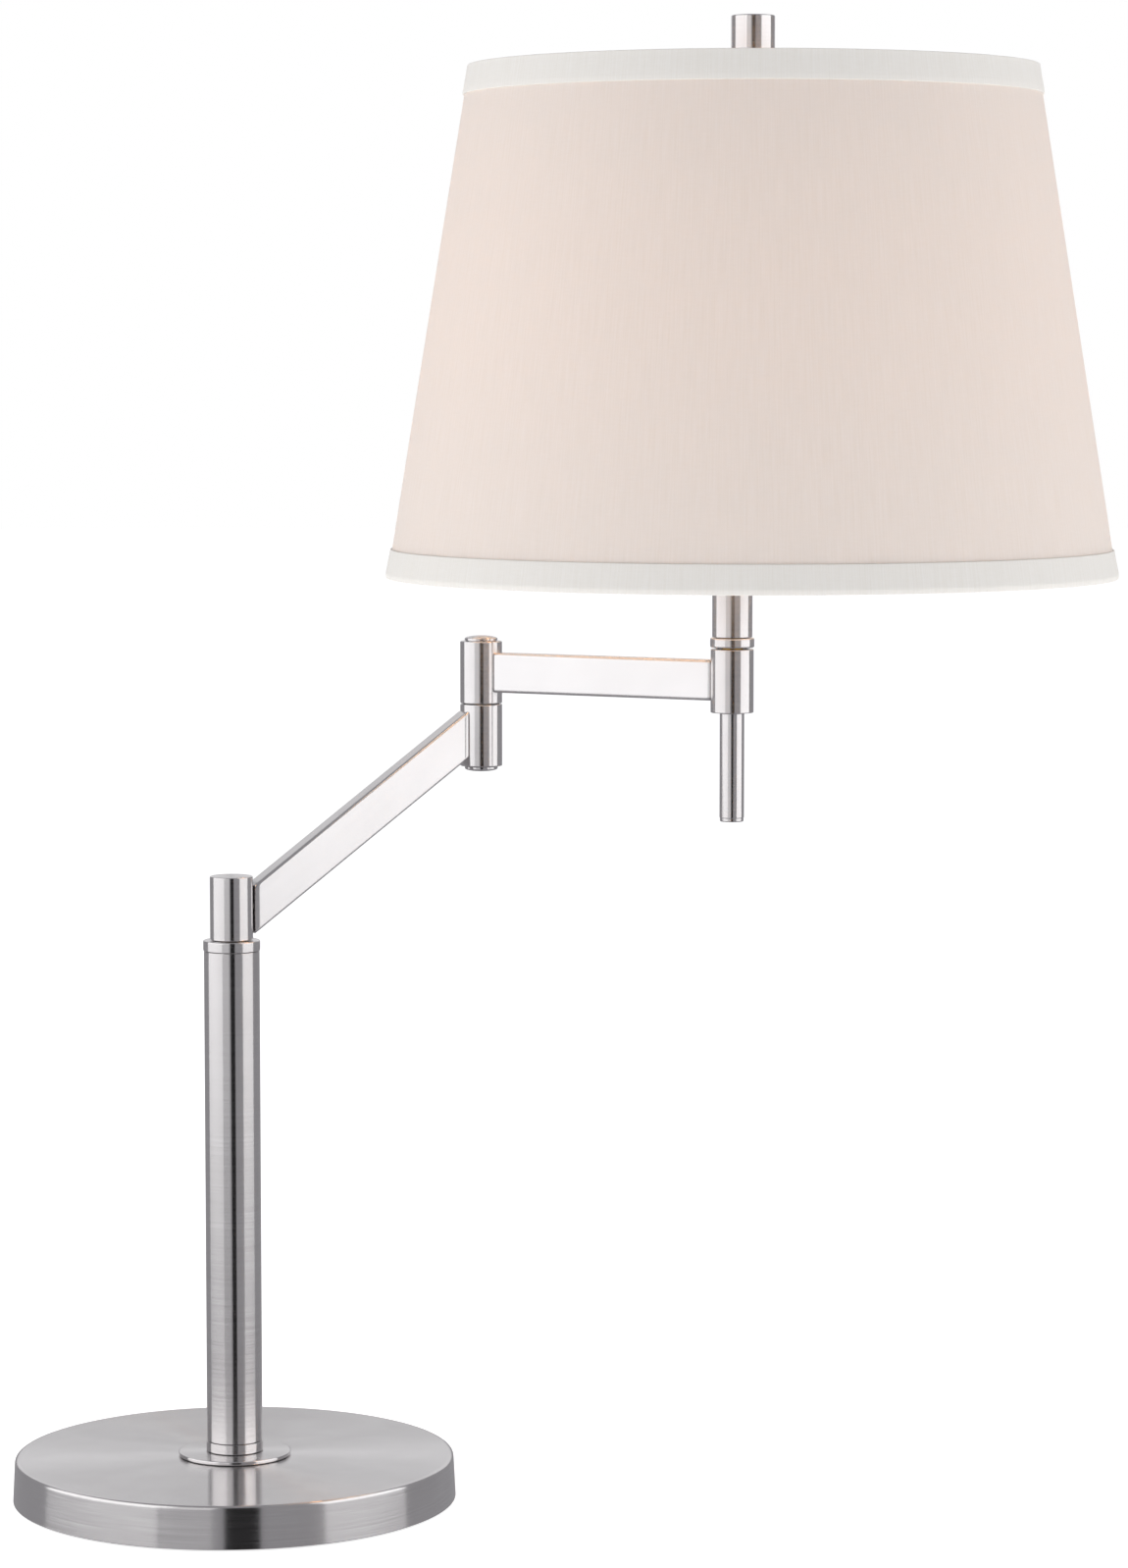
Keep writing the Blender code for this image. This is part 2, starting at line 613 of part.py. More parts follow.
# ---------------------------------------------------------------- lower arm
def build_lower_arm(pole_axis, elbow_axis, pole_bushing_top):
    barrel_top = pole_barrel_bottom + BARREL_LENGTH
    barrel = turned(
        "pole_barrel",
        [
            (0.0, barrel_top),
            (BARREL_RADIUS - BARREL_EDGE, barrel_top),
            (BARREL_RADIUS, barrel_top - BARREL_EDGE),
            (BARREL_RADIUS, pole_barrel_bottom + BARREL_EDGE),
            (BARREL_RADIUS - BARREL_EDGE, pole_barrel_bottom),
            (BARREL_BORE, pole_barrel_bottom),
            (BARREL_BORE, barrel_top - BARREL_WEB),
            (0.0, barrel_top - BARREL_WEB),
        ],
        BRUSHED_NICKEL,
        pole_axis,
    )
    turned(
        "pole_bushing",
        bushing_profile(POLE_STUD_RADIUS, pole_bushing_top),
        NYLON,
        pole_axis,
        facets=SMALL,
    )
    groove_middle = pole_bushing_top + GAP + GROOVE_WIDTH / 2
    add_grub_screw("pole_grub_screw", barrel, groove_middle, POLE_STUD_RADIUS - GROOVE_DEPTH, pole_axis)
    lead_out = groove_middle + GROOVE_WIDTH / 2 + STUD_TIP + LEAD_HOLE + 2 * GAP
    cut(barrel, lead_hole("pole_barrel_lead_hole", 1, lead_out, pole_axis))

    upright = ARM_HEIGHT * math.sqrt(1 + arm_slope**2)
    inner_upright = upright - 2 * ARM_WALL * math.sqrt(1 + arm_slope**2)
    far = ARM_REACH - 0.2 * BARREL_RADIUS

    def on_arm(along):
        return (along, 0.0, lower_arm_foot + arm_slope * (along - arm_end))

    arm = extruded(
        "lower_arm",
        rounded_rectangle(ARM_WIDTH, upright, ARM_CORNER),
        on_arm(arm_end),
        on_arm(far),
        BRUSHED_NICKEL,
        pole_axis,
    )
    hollow = extruded(
        "lower_arm_hollow",
        rounded_rectangle(ARM_WIDTH - 2 * ARM_WALL, inner_upright, ARM_CORNER / 2),
        on_arm(arm_end + ARM_WALL),
        on_arm(ARM_REACH + BARREL_RADIUS),
        None,
        pole_axis,
    )
    cut(arm, hollow)
    below = (ARM_REACH, 0, elbow_bottom - 3 * BARREL_RADIUS)
    above = (ARM_REACH, 0, elbow_seam + 3 * BARREL_RADIUS)
    cut(arm, drill("elbow_cope_low", arm_end, below, above, pole_axis))
    cut(arm, lead_hole("arm_foot_lead_hole", 1, lead_out, pole_axis, arm_end + 3 * ARM_WALL))

    stud_head = elbow_seam - FRICTION_WASHER - GAP - 2 * BARREL_WEB
    lower_barrel = turned(
        "elbow_lower_barrel",
        [
            (BARREL_RADIUS - WASHER_SEAT_LIP, elbow_seam),
            (BARREL_RADIUS - BARREL_EDGE, elbow_seam),
            (BARREL_RADIUS, elbow_seam - BARREL_EDGE),
            (BARREL_RADIUS, elbow_bottom + BARREL_EDGE),
            (BARREL_RADIUS - BARREL_EDGE, elbow_bottom),
            (BARREL_BORE, elbow_bottom),
            (BARREL_BORE, stud_head),
            (STUD_RADIUS + GAP, stud_head),
            (STUD_RADIUS + GAP, elbow_seam - FRICTION_WASHER - GAP),
            (BARREL_RADIUS - WASHER_SEAT_LIP, elbow_seam - FRICTION_WASHER - GAP),
        ],
        BRUSHED_NICKEL,
        elbow_axis,
    )
    elbow_lead = lower_arm_head - 0.1 * BARREL_LENGTH
    cut(lower_barrel, lead_hole("elbow_low_lead_hole", -1, elbow_lead, elbow_axis))
    washer_radius = BARREL_RADIUS - WASHER_SEAT_LIP - GAP
    turned(
        "elbow_washer",
        tube_profile(STUD_RADIUS + GAP, washer_radius, elbow_seam - FRICTION_WASHER, elbow_seam),
        NYLON,
        elbow_axis,
        facets=SMALL,
    )
    bushing_top = upper_barrel_bottom + GAP + BUSHING_LENGTH
    turned(
        "elbow_stud",
        stud_profile(STUD_RADIUS, bushing_top + GAP)
        + [
            (STUD_RADIUS, stud_head - GAP),
            (STUD_RADIUS + STUD_HEAD, stud_head - GAP),
            (STUD_RADIUS + STUD_HEAD, stud_head - GAP - BARREL_WEB),
            (STUD_BORE, stud_head - GAP - BARREL_WEB),
        ],
        BRASS,
        elbow_axis,
        facets=SMALL,
    )
    turned("elbow_bottom_cap", cap_profile(elbow_bottom, -1), BRUSHED_NICKEL, elbow_axis, facets=ROUND)

    start = Vector((0.0, 0.0, lead_out))
    end = Vector((ARM_REACH, 0.0, elbow_lead))
    wire(
        "lead_in_lower_arm",
        [
            start,
            start + Vector((arm_end, 0.0, 0.0)),
            Vector(on_arm(3.0 * BARREL_RADIUS)),
            Vector(on_arm(ARM_REACH / 2)),
            Vector(on_arm(ARM_REACH - 3.0 * BARREL_RADIUS)),
            end - Vector((arm_end, 0.0, 0.0)),
            end,
        ],
        LEAD_RADIUS,
        LEAD_SHEATH,
        pole_axis,
        spacing=5 * LEAD_RADIUS,
    )
    return bushing_top


def cap_profile(seat, up):
    """A domed plug in a barrel's end: spigot, rim, then a low dome.

    up is 1 on a top end and -1 on a bottom end.
    """
    rim_start = seat + up * GAP
    rim_end = rim_start + up * CAP_RIM
    spigot = BARREL_BORE - GAP
    tail = seat - up * CAP_SPIGOT
    points = [(0.0, tail), (spigot, tail), (spigot, rim_start), (CAP_RADIUS, rim_start)]
    for step in range(6):
        angle = math.pi / 2 * step / 5
        points.append((CAP_RADIUS * math.cos(angle), rim_end + up * CAP_DOME * math.sin(angle)))
    points[-1] = (0.0, rim_end + up * CAP_DOME)
    return points


# ---------------------------------------------------------------- upper arm
def build_upper_arm(elbow_turn, head_axis, elbow_bushing_top):
    upper_barrel = turned(
        "elbow_upper_barrel",
        tube_profile(BARREL_BORE, BARREL_RADIUS, upper_barrel_bottom, upper_barrel_top, BARREL_EDGE),
        BRUSHED_NICKEL,
        elbow_turn,
    )
    turned(
        "elbow_bushing",
        bushing_profile(STUD_RADIUS, elbow_bushing_top),
        NYLON,
        elbow_turn,
        facets=SMALL,
    )
    turned("elbow_top_cap", cap_profile(upper_barrel_top, 1), BRUSHED_NICKEL, elbow_turn, facets=ROUND)
    groove_middle = elbow_bushing_top + GAP + GROOVE_WIDTH / 2
    add_grub_screw("elbow_grub_screw", upper_barrel, groove_middle, STUD_RADIUS - GROOVE_DEPTH, elbow_turn)
    lead_in = groove_middle + GROOVE_WIDTH / 2 + STUD_TIP + LEAD_HOLE + GAP
    cut(upper_barrel, lead_hole("elbow_up_lead_hole", 1, lead_in, elbow_turn))

    near = 0.2 * BARREL_RADIUS
    arm = extruded(
        "upper_arm",
        rounded_rectangle(ARM_WIDTH, ARM_HEIGHT, ARM_CORNER),
        (near, 0.0, upper_arm_middle),
        (ARM_REACH - near, 0.0, upper_arm_middle),
        BRUSHED_NICKEL,
        elbow_turn,
    )
    hollow = extruded(
        "upper_arm_hollow",
        rounded_rectangle(ARM_WIDTH - 2 * ARM_WALL, ARM_HEIGHT - 2 * ARM_WALL, ARM_CORNER / 2),
        (-near, 0.0, upper_arm_middle),
        (ARM_REACH + near, 0.0, upper_arm_middle),
        None,
        elbow_turn,
    )
    cut(arm, hollow)
    below = upper_barrel_bottom - BARREL_RADIUS
    above = upper_barrel_top + BARREL_RADIUS
    for name, along in (("elbow_cope_up", 0.0), ("head_cope", ARM_REACH)):
        cut(arm, drill(name, arm_end, (along, 0, below), (along, 0, above), elbow_turn))

    head_barrel = turned(
        "head_barrel",
        [
            (BARREL_BORE, upper_barrel_top),
            (BARREL_RADIUS - BARREL_EDGE, upper_barrel_top),
            (BARREL_RADIUS, upper_barrel_top - BARREL_EDGE),
            (BARREL_RADIUS, upper_barrel_bottom + BARREL_EDGE),
            (BARREL_RADIUS - BARREL_EDGE, upper_barrel_bottom),
            (ROD_THREAD + GAP, upper_barrel_bottom),
            (ROD_THREAD + GAP, upper_barrel_bottom + BARREL_WEB),
            (BARREL_BORE, upper_barrel_bottom + BARREL_WEB),
        ],
        BRUSHED_NICKEL,
        head_axis,
    )
    bushing_top = upper_barrel_top - GAP
    bushing_bottom = bushing_top - BUSHING_LENGTH
    turned(
        "head_bushing",
        bushing_profile(STUD_RADIUS, bushing_top),
        NYLON,
        head_axis,
        facets=SMALL,
    )
    groove = bushing_bottom - GAP - GROOVE_WIDTH / 2
    add_grub_screw("head_grub_screw", head_barrel, groove, STUD_RADIUS - GROOVE_DEPTH, head_axis)
    lead_out = groove - GROOVE_WIDTH / 2 - STUD_TIP - LEAD_HOLE - GAP
    cut(head_barrel, lead_hole("head_lead_hole", -1, lead_out, head_axis))

    rod_top = upper_barrel_bottom - GAP
    rod_bottom = rod_top - ROD_LENGTH
    nut_seat = upper_barrel_bottom + BARREL_WEB + GAP
    thread_top = nut_seat + ROD_NUT_HEIGHT + ROD_THREAD_TAIL
    line = ROD_RADIUS - ROD_LINE_DEPTH
    turned(
        "handle_rod",
        [
            (0.0, thread_top),
            (ROD_THREAD, thread_top),
            (ROD_THREAD, rod_top),
            (ROD_RADIUS, rod_top),
            (ROD_RADIUS, rod_bottom + ROD_LINE_HEIGHT),
            (line, rod_bottom + ROD_LINE_HEIGHT - ROD_LINE_SLOPE),
            (line, rod_bottom + BARREL_EDGE),
            (line - BARREL_EDGE, rod_bottom),
            (0.0, rod_bottom),
        ],
        BRUSHED_NICKEL,
        head_axis,
        facets=24,
    )
    hex_nut("rod_nut", ROD_NUT_FLATS, ROD_NUT_HEIGHT, ROD_THREAD + GAP, nut_seat, ZINC_STEEL, head_axis)

    start = Vector((0.0, 0.0, lead_in))
    end = Vector((ARM_REACH, 0.0, lead_out))
    sag = Vector((ARM_REACH / 2, 0.0, upper_arm_middle - ARM_HEIGHT / 4))
    wire(
        "lead_in_upper_arm",
        [start, start + Vector((arm_end, 0.0, 0.0)), sag, end - Vector((arm_end, 0.0, 0.0)), end],
        LEAD_RADIUS,
        LEAD_SHEATH,
        elbow_turn,
        spacing=6 * LEAD_RADIUS,
    )
    return groove


# ---------------------------------------------------------------- neck, socket and bulb
def build_head(head_turn, groove_middle):
    hole = STUD_RADIUS + GAP
    pipe_bottom_end = groove_middle - GROOVE_WIDTH / 2 - STUD_TIP
    pipe_top_end = socket_bottom + 0.45 * SOCKET_CAP_HEIGHT
    groove = STUD_RADIUS - GROOVE_DEPTH
    turned(
        "neck_pipe",
        [
            (STUD_BORE, pipe_top_end),
            (STUD_RADIUS, pipe_top_end),
            (STUD_RADIUS, groove_middle + GROOVE_WIDTH / 2),
            (groove, groove_middle + GROOVE_WIDTH / 2),
            (groove, groove_middle - GROOVE_WIDTH / 2),
            (STUD_RADIUS, groove_middle - GROOVE_WIDTH / 2),
            (STUD_RADIUS, pipe_bottom_end),
            (STUD_BORE, pipe_bottom_end),
        ],
        BRASS,
        head_turn,
        facets=SMALL,
    )
    ring_top = neck_ring_bottom + RING_HEIGHT
    turned(
        "neck_ring",
        tube_profile(hole, NECK_RING_RADIUS, neck_ring_bottom, ring_top, NECK_RING_EDGE),
        BRUSHED_NICKEL,
        head_turn,
    )
    turned(
        "neck_tube",
        tube_profile(NECK_RADIUS - NECK_WALL, NECK_RADIUS, neck_bottom, neck_top),
        BRUSHED_NICKEL,
        head_turn,
    )
    inner = SOCKET_RADIUS - SOCKET_WALL
    hub = SOCKET_HUB_RADIUS
    turned(
        "socket_cap",
        [
            (inner, socket_bottom + SOCKET_CAP_HEIGHT),
            (SOCKET_RADIUS, socket_bottom + SOCKET_CAP_HEIGHT),
            (SOCKET_RADIUS, socket_bottom + 0.5 * SOCKET_CAP_HEIGHT),
            (0.8 * SOCKET_RADIUS, socket_bottom + 0.2 * SOCKET_CAP_HEIGHT),
            (hub, socket_bottom),
            (hole, socket_bottom),
            (hole, socket_bottom + 0.4 * SOCKET_CAP_HEIGHT),
            (hub, socket_bottom + 0.4 * SOCKET_CAP_HEIGHT),
            (0.8 * SOCKET_RADIUS - SOCKET_WALL, socket_bottom + 0.3 * SOCKET_CAP_HEIGHT),
            (inner, socket_bottom + 0.56 * SOCKET_CAP_HEIGHT),
        ],
        BRASS,
        head_turn,
        facets=24,
    )
    switch_height = socket_shell_bottom + SWITCH_HEIGHT
    shell = turned(
        "socket_shell",
        tube_profile(inner, SOCKET_RADIUS, socket_shell_bottom, socket_shell_bottom + SOCKET_SHELL_HEIGHT),
        BRASS,
        head_turn,
        facets=24,
    )
    inside = (0, -0.8 * SOCKET_RADIUS, switch_height)
    outside = (0, -2 * SOCKET_RADIUS, switch_height)
    cut(shell, drill("switch_hole", SWITCH_SHAFT_RADIUS + 2 * GAP, inside, outside, head_turn))
    body_top = socket_body_bottom + SOCKET_BODY_HEIGHT
    turned(
        "socket_body",
        [
            (0.0, body_top),
            (socket_body_radius, body_top),
            (socket_body_radius, socket_body_bottom),
            (0.0, socket_body_bottom),
        ],
        BLACK_PLASTIC,
        head_turn,
        facets=SMALL,
    )
    screw_shell_inner = SCREW_SHELL_RADIUS - SCREW_SHELL_WALL
    screw_shell_top = socket_shell_bottom + SOCKET_SHELL_HEIGHT - SCREW_SHELL_DROP
    turned(
        "screw_shell",
        tube_profile(screw_shell_inner, SCREW_SHELL_RADIUS, screw_shell_bottom, screw_shell_top),
        BRASS,
        head_turn,
        facets=24,
    )
    wire(
        "lead_in_neck",
        [(0.0, 0.0, pipe_bottom_end + GAP), (0.0, 0.0, neck_bottom), (0.0, 0.0, socket_body_bottom - GAP)],
        LEAD_RADIUS,
        LEAD_SHEATH,
        head_turn,
    )
    build_bulb(head_turn)
    return switch_height


def build_bulb(head_turn):
    cap_radius = SCREW_SHELL_RADIUS - SCREW_SHELL_WALL - 2 * GAP
    cap_top = bulb_bottom + BULB_CAP_HEIGHT
    turned(
        "bulb_cap",
        [
            (0.0, cap_top),
            (cap_radius, cap_top),
            (cap_radius, bulb_bottom + BULB_TIP_HEIGHT),
            (0.5 * cap_radius, bulb_bottom),
            (0.0, bulb_bottom),
        ],
        ZINC_STEEL,
        head_turn,
        facets=24,
    )
    glass_bottom = cap_top + GAP
    outer = bulb_outline(BULB_NECK_RADIUS, BULB_RADIUS, glass_bottom, BULB_HEIGHT)
    inner_neck, inner_belly = BULB_NECK_RADIUS - BULB_GLASS, BULB_RADIUS - BULB_GLASS
    inner = bulb_outline(inner_neck, inner_belly, glass_bottom, BULB_HEIGHT - BULB_GLASS)
    turned("bulb_glass", outer + inner[::-1], OPAL_GLASS, head_turn, facets=24)


def bulb_outline(neck, belly, bottom, height, steps=9):
    """A pear: a round crown of the belly's radius on a neck that narrows in a half wave.

    It starts on the axis.
    """
    crown = bottom + height - belly
    turns = [math.pi / 2 * step / 4 for step in range(5)]
    points = [(belly * math.sin(turn), crown + belly * math.cos(turn)) for turn in turns]
    points[0] = (0.0, crown + belly)
    for step in range(1, steps):
        t = step / (steps - 1)
        blend = (1 + math.cos(math.pi * t)) / 2
        points.append((neck + (belly - neck) * blend, crown + (bottom - crown) * t))
    return points


# ---------------------------------------------------------------- switch
def build_switch(knob_axis):
    shaft_end = KNOB_LENGTH - KNOB_FACE
    inward = -(SWITCH_REACH + SOCKET_RADIUS - socket_body_radius - GAP)
    sideways = (math.pi / 2, 0.0, 0.0)
    turned(
        "switch_shaft",
        [(0.0, shaft_end), (SWITCH_SHAFT_RADIUS, shaft_end), (SWITCH_SHAFT_RADIUS, inward), (0.0, inward)],
        BRASS,
        knob_axis,
        facets=12,
        tilt=sideways,
    )
    bore = SWITCH_SHAFT_RADIUS + GAP
    turned(
        "switch_knob",
        [
            (0.0, KNOB_LENGTH),
            (KNOB_RADIUS - KNOB_EDGE, KNOB_LENGTH),
            (KNOB_RADIUS, KNOB_LENGTH - KNOB_EDGE),
            (KNOB_RADIUS - KNOB_TAPER, 0.0),
            (bore, 0.0),
            (bore, shaft_end + GAP),
            (0.0, shaft_end + GAP),
        ],
        BLACK_PLASTIC,
        knob_axis,
        facets=SMALL,
        tilt=sideways,
    )


# ---------------------------------------------------------------- harp
def sway_at(height):
    """How far the harp stands off the head's axis at a height: none at its feet, all of it at its top."""
    feet = saddle_bottom + TAB_HEIGHT
    share = min(1.0, max(0.0, (height - feet) / (harp_top - feet)))
    return HARP_SWAY * share * share * (3 - 2 * share)


def harp_route(rise_steps=7, arch_steps=10):
    """The harp's wire, foot to foot: upright legs that swell out in a half wave, then close in an arch."""
    foot = saddle_bottom + HARP_FOOT_START * TAB_HEIGHT
    knee = saddle_bottom + HARP_KNEE * TAB_HEIGHT
    belly = knee + HARP_BELLY_SHARE * (harp_top - knee)
    side = [(HARP_FOOT, foot), (HARP_FOOT, knee)]
    for step in range(1, rise_steps + 1):
        t = step / rise_steps
        out = (HARP_HALF_WIDTH - HARP_FOOT) * (1 - math.cos(math.pi * t)) / 2
        side.append((HARP_FOOT + out, knee + (belly - knee) * t))
    for step in range(1, arch_steps + 1):
        turn = math.pi / 2 * step / arch_steps
        across = max(0.0, math.cos(turn)) ** HARP_ARCH_POWER if step < arch_steps else 0.0
        side.append((HARP_HALF_WIDTH * across, belly + (harp_top - belly) * math.sin(turn)))
    right = [Vector((x + sway_at(z), 0.0, z)) for x, z in side]
    left = [Vector((-x + sway_at(z), 0.0, z)) for x, z in side[:-1]]
    return left + right[::-1]


def build_harp(head_turn):
    half = HARP_FOOT - SADDLE_INSET
    tab = half - TAB_THICKNESS / 2
    plate_z = saddle_bottom + SADDLE_THICKNESS / 2
    plate_outline = [
        (-SADDLE_WIDTH / 2, -SADDLE_THICKNESS / 2),
        (SADDLE_WIDTH / 2, -SADDLE_THICKNESS / 2),
        (SADDLE_WIDTH / 2, SADDLE_THICKNESS / 2),
        (-SADDLE_WIDTH / 2, SADDLE_THICKNESS / 2),
    ]
    left, right = (-half, 0, plate_z), (half, 0, plate_z)
    saddle = extruded("harp_saddle", plate_outline, left, right, ZINC_STEEL, head_turn)
    tab_edge = TAB_WIDTH / 2
    tab_outline = [(-tab_edge, 0.0), (tab_edge, 0.0), (tab_edge, TAB_HEIGHT), (-tab_edge, TAB_HEIGHT)]
    for side, name in ((-1, "left"), (1, "right")):
        inner_face = (side * (tab - TAB_THICKNESS / 2 - TAB_SETBACK), 0, saddle_bottom)
        outer_face = (side * (tab + TAB_THICKNESS / 2 - TAB_SETBACK), 0, saddle_bottom)
        join(saddle, extruded("saddle_tab_" + name, tab_outline, inner_face, outer_face, None, head_turn))
        middle = side * half
        bottom = saddle_bottom + SLEEVE_START * TAB_HEIGHT
        turned(
            "harp_sleeve_" + name,
            tube_profile(SLEEVE_RADIUS - SLEEVE_WALL, SLEEVE_RADIUS, bottom, bottom + SLEEVE_LENGTH),
            BRASS,
            head_turn,
            facets=SMALL,
            place=(middle, 0.0, 0.0),
        )
    under = (0, 0, saddle_bottom - 4 * SADDLE_THICKNESS)
    over = (0, 0, saddle_bottom + 4 * SADDLE_THICKNESS)
    cut(saddle, drill("saddle_hole", STUD_RADIUS + GAP, under, over, head_turn))
    wire("harp_wire", harp_route(), HARP_WIRE, BRASS, head_turn)
    thread_top = finial_bottom + FITTER_STUD_LENGTH
    seat = fitter_bottom + FITTER_PLATE + FITTER_SEAT_HEIGHT
    turned(
        "harp_stud",
        [
            (0.0, thread_top),
            (FITTER_STUD_RADIUS, thread_top),
            (FITTER_STUD_RADIUS, seat),
            (1.7 * FITTER_STUD_RADIUS, seat),
            (1.7 * FITTER_STUD_RADIUS, fitter_bottom + FITTER_PLATE),
            (2.4 * FITTER_STUD_RADIUS, fitter_bottom + FITTER_PLATE),
            (2.4 * FITTER_STUD_RADIUS, fitter_bottom),
            (0.0, fitter_bottom),
        ],
        BRASS,
        head_turn,
        facets=SMALL,
        place=(HARP_SWAY, 0.0, 0.0),
    )


# ---------------------------------------------------------------- shade
def shade_radius(height):
    """The outer radius of the shade's cone at a height above the table."""
    share = (height - shade_bottom) / SHADE_HEIGHT
    return SHADE_BOTTOM_RADIUS + (SHADE_TOP_RADIUS - SHADE_BOTTOM_RADIUS) * share


def cone_band(inner_offset, outer_offset, bottom, top):
    """A thin conical band that follows the shade, between two offsets from its outside."""
    return [
        (shade_radius(top) + inner_offset, top),
        (shade_radius(top) + outer_offset, top),
        (shade_radius(bottom) + outer_offset, bottom),
        (shade_radius(bottom) + inner_offset, bottom),
    ]


def ring_profile(radius, height, wire_radius, sides=6):
    """A round wire ring's section."""
    turns = [-math.tau * side / sides for side in range(sides)]
    return [(radius + wire_radius * math.cos(turn), height + wire_radius * math.sin(turn)) for turn in turns]


def build_shade(head_turn):
    place = (HARP_SWAY, 0.0, 0.0)

    def on_shade(name, profile, finish):
        return turned(name, profile, finish, head_turn, facets=WIDE, place=place)

    on_shade("shade_shell", cone_band(-SHADE_WALL, 0.0, shade_bottom, shade_top), SHADE_FABRIC)
    trim_in = GAP
    trim_out = GAP + TRIM_THICKNESS
    on_shade("shade_top_trim", cone_band(trim_in, trim_out, shade_top - TRIM_HEIGHT, shade_top), SHADE_TRIM)
    trim_top = shade_bottom + TRIM_HEIGHT
    on_shade("shade_bottom_trim", cone_band(trim_in, trim_out, shade_bottom, trim_top), SHADE_TRIM)

    reach_in = SHADE_WALL + 2 * GAP + SHADE_WIRE
    low = shade_bottom + SHADE_WIRE + GAP
    high = shade_top - SHADE_WIRE - GAP
    on_shade("shade_bottom_ring", ring_profile(shade_radius(low) - reach_in, low, SHADE_WIRE), ZINC_STEEL)

    ring_radius = shade_radius(high) - reach_in
    spider = on_shade("shade_spider", ring_profile(ring_radius, high, SHADE_WIRE), ZINC_STEEL)
    hub_middle = hub_bottom + HUB_THICKNESS / 2
    hub = turned(
        "spider_hub",
        tube_profile(FITTER_STUD_RADIUS + 2 * GAP, hub_radius, hub_bottom, hub_bottom + HUB_THICKNESS),
        None,
        head_turn,
        facets=24,
        place=place,
    )
    for number in range(SPOKE_COUNT):
        turn = math.tau * (number + 0.25) / SPOKE_COUNT
        along = Vector((math.cos(turn), math.sin(turn), 0.0))
        inner = along * (FINIAL_RADIUS + 2 * GAP) + Vector((HARP_SWAY, 0.0, hub_middle))
        outer = along * ring_radius + Vector((HARP_SWAY, 0.0, high))
        spoke = drill(f"spider_spoke_{number + 1}", 0.9 * SHADE_WIRE, inner, outer, head_turn)
        join(spider, spoke)
    join(spider, hub)


def build_finial(head_turn):
    top = finial_bottom + FINIAL_HEIGHT
    hole = FITTER_STUD_RADIUS + GAP
    bore_top = finial_bottom + FITTER_STUD_LENGTH + THREAD_ROOM
    turned(
        "finial",
        [
            (0.0, top),
            (FINIAL_RADIUS - FINIAL_EDGE, top),
            (FINIAL_RADIUS, top - FINIAL_EDGE),
            (FINIAL_RADIUS, finial_bottom + FINIAL_EDGE),
            (FINIAL_RADIUS - FINIAL_EDGE, finial_bottom),
            (hole, finial_bottom),
            (hole, bore_top),
            (0.0, bore_top),
        ],
        BRUSHED_NICKEL,
        head_turn,
        place=(HARP_SWAY, 0.0, 0.0),
    )


def build_base_lead():
    """The lead in the base and the pole.

    It goes in at the outlet, along the channel, then up the pipe to the stud.
    """
    floor_height = pad_top + GAP + LEAD_RADIUS
    bend = LEAD_ROOM + 0.5 * MM
    turns = [math.pi / 2 * step / 4 for step in range(5)]
    corner = [
        (0.0, bend * (1 - math.sin(turn)), floor_height + bend * (1 - math.cos(turn))) for turn in turns
    ]
    route = [
        (0.0, BASE_RADIUS - 4.0 * MM, OUTLET_HEIGHT),
        (0.0, 0.85 * BASE_RADIUS, OUTLET_HEIGHT),
        (0.0, 0.55 * BASE_RADIUS, floor_height + 0.4 * MM),
        (0.0, 2 * RECESS_RADIUS, floor_height),
        *corner,
        (0.0, 0.0, pole_bottom),
        (0.0, 0.0, (pole_bottom + pole_top) / 2),
        (0.0, 0.0, pole_barrel_bottom + SHOULDER_HEIGHT),
    ]
    wire("lead_in_pole", route, LEAD_RADIUS, LEAD_SHEATH, spacing=8 * LEAD_RADIUS)


def main():
    clear_scene()
    build_base()
    pole_bushing_top = build_pole()
    build_base_lead()

    pole_axis = axis_empty("pole_swivel_axis", (0.0, 0.0, 0.0), LOWER_ARM_YAW)
    elbow_axis = axis_empty("elbow_axis", (ARM_REACH, 0.0, 0.0), 0.0, pole_axis)
    elbow_bushing_top = build_lower_arm(pole_axis, elbow_axis, pole_bushing_top)

    elbow_turn = axis_empty("elbow_swivel_axis", (0.0, 0.0, 0.0), UPPER_ARM_YAW - LOWER_ARM_YAW, elbow_axis)
    head_axis = axis_empty("head_axis", (ARM_REACH, 0.0, 0.0), 0.0, elbow_turn)
    groove_middle = build_upper_arm(elbow_turn, head_axis, elbow_bushing_top)

    head_turn = axis_empty("head_swivel_axis", (0.0, 0.0, 0.0), -UPPER_ARM_YAW, head_axis)
    switch_height = build_head(head_turn, groove_middle)
    knob_axis = axis_empty("switch_axis", (0.0, -SOCKET_RADIUS - SWITCH_REACH, switch_height), 0.0, head_turn)
    build_switch(knob_axis)
    build_harp(head_turn)
    build_shade(head_turn)
    build_finial(head_turn)


main()
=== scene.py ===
# %% [markdown]
# # A swing-arm table lamp in brushed nickel
#
# The lamp stands on a heavy round base. A pole carries two hollow arms that fold on swivels, and at the end
# of the upper arm a head holds the socket, the bulb, the harp and a tapered drum shade. The working model is
# already made as plain solids, and it sits in this scene as a frame that is never moved. This lesson gives
# that frame its looks: each visible solid is replaced by a finer surface worked out with numpy, and each
# finish is a material built from what the real one is. Everything is in metres, and Z is up.

import json
import math

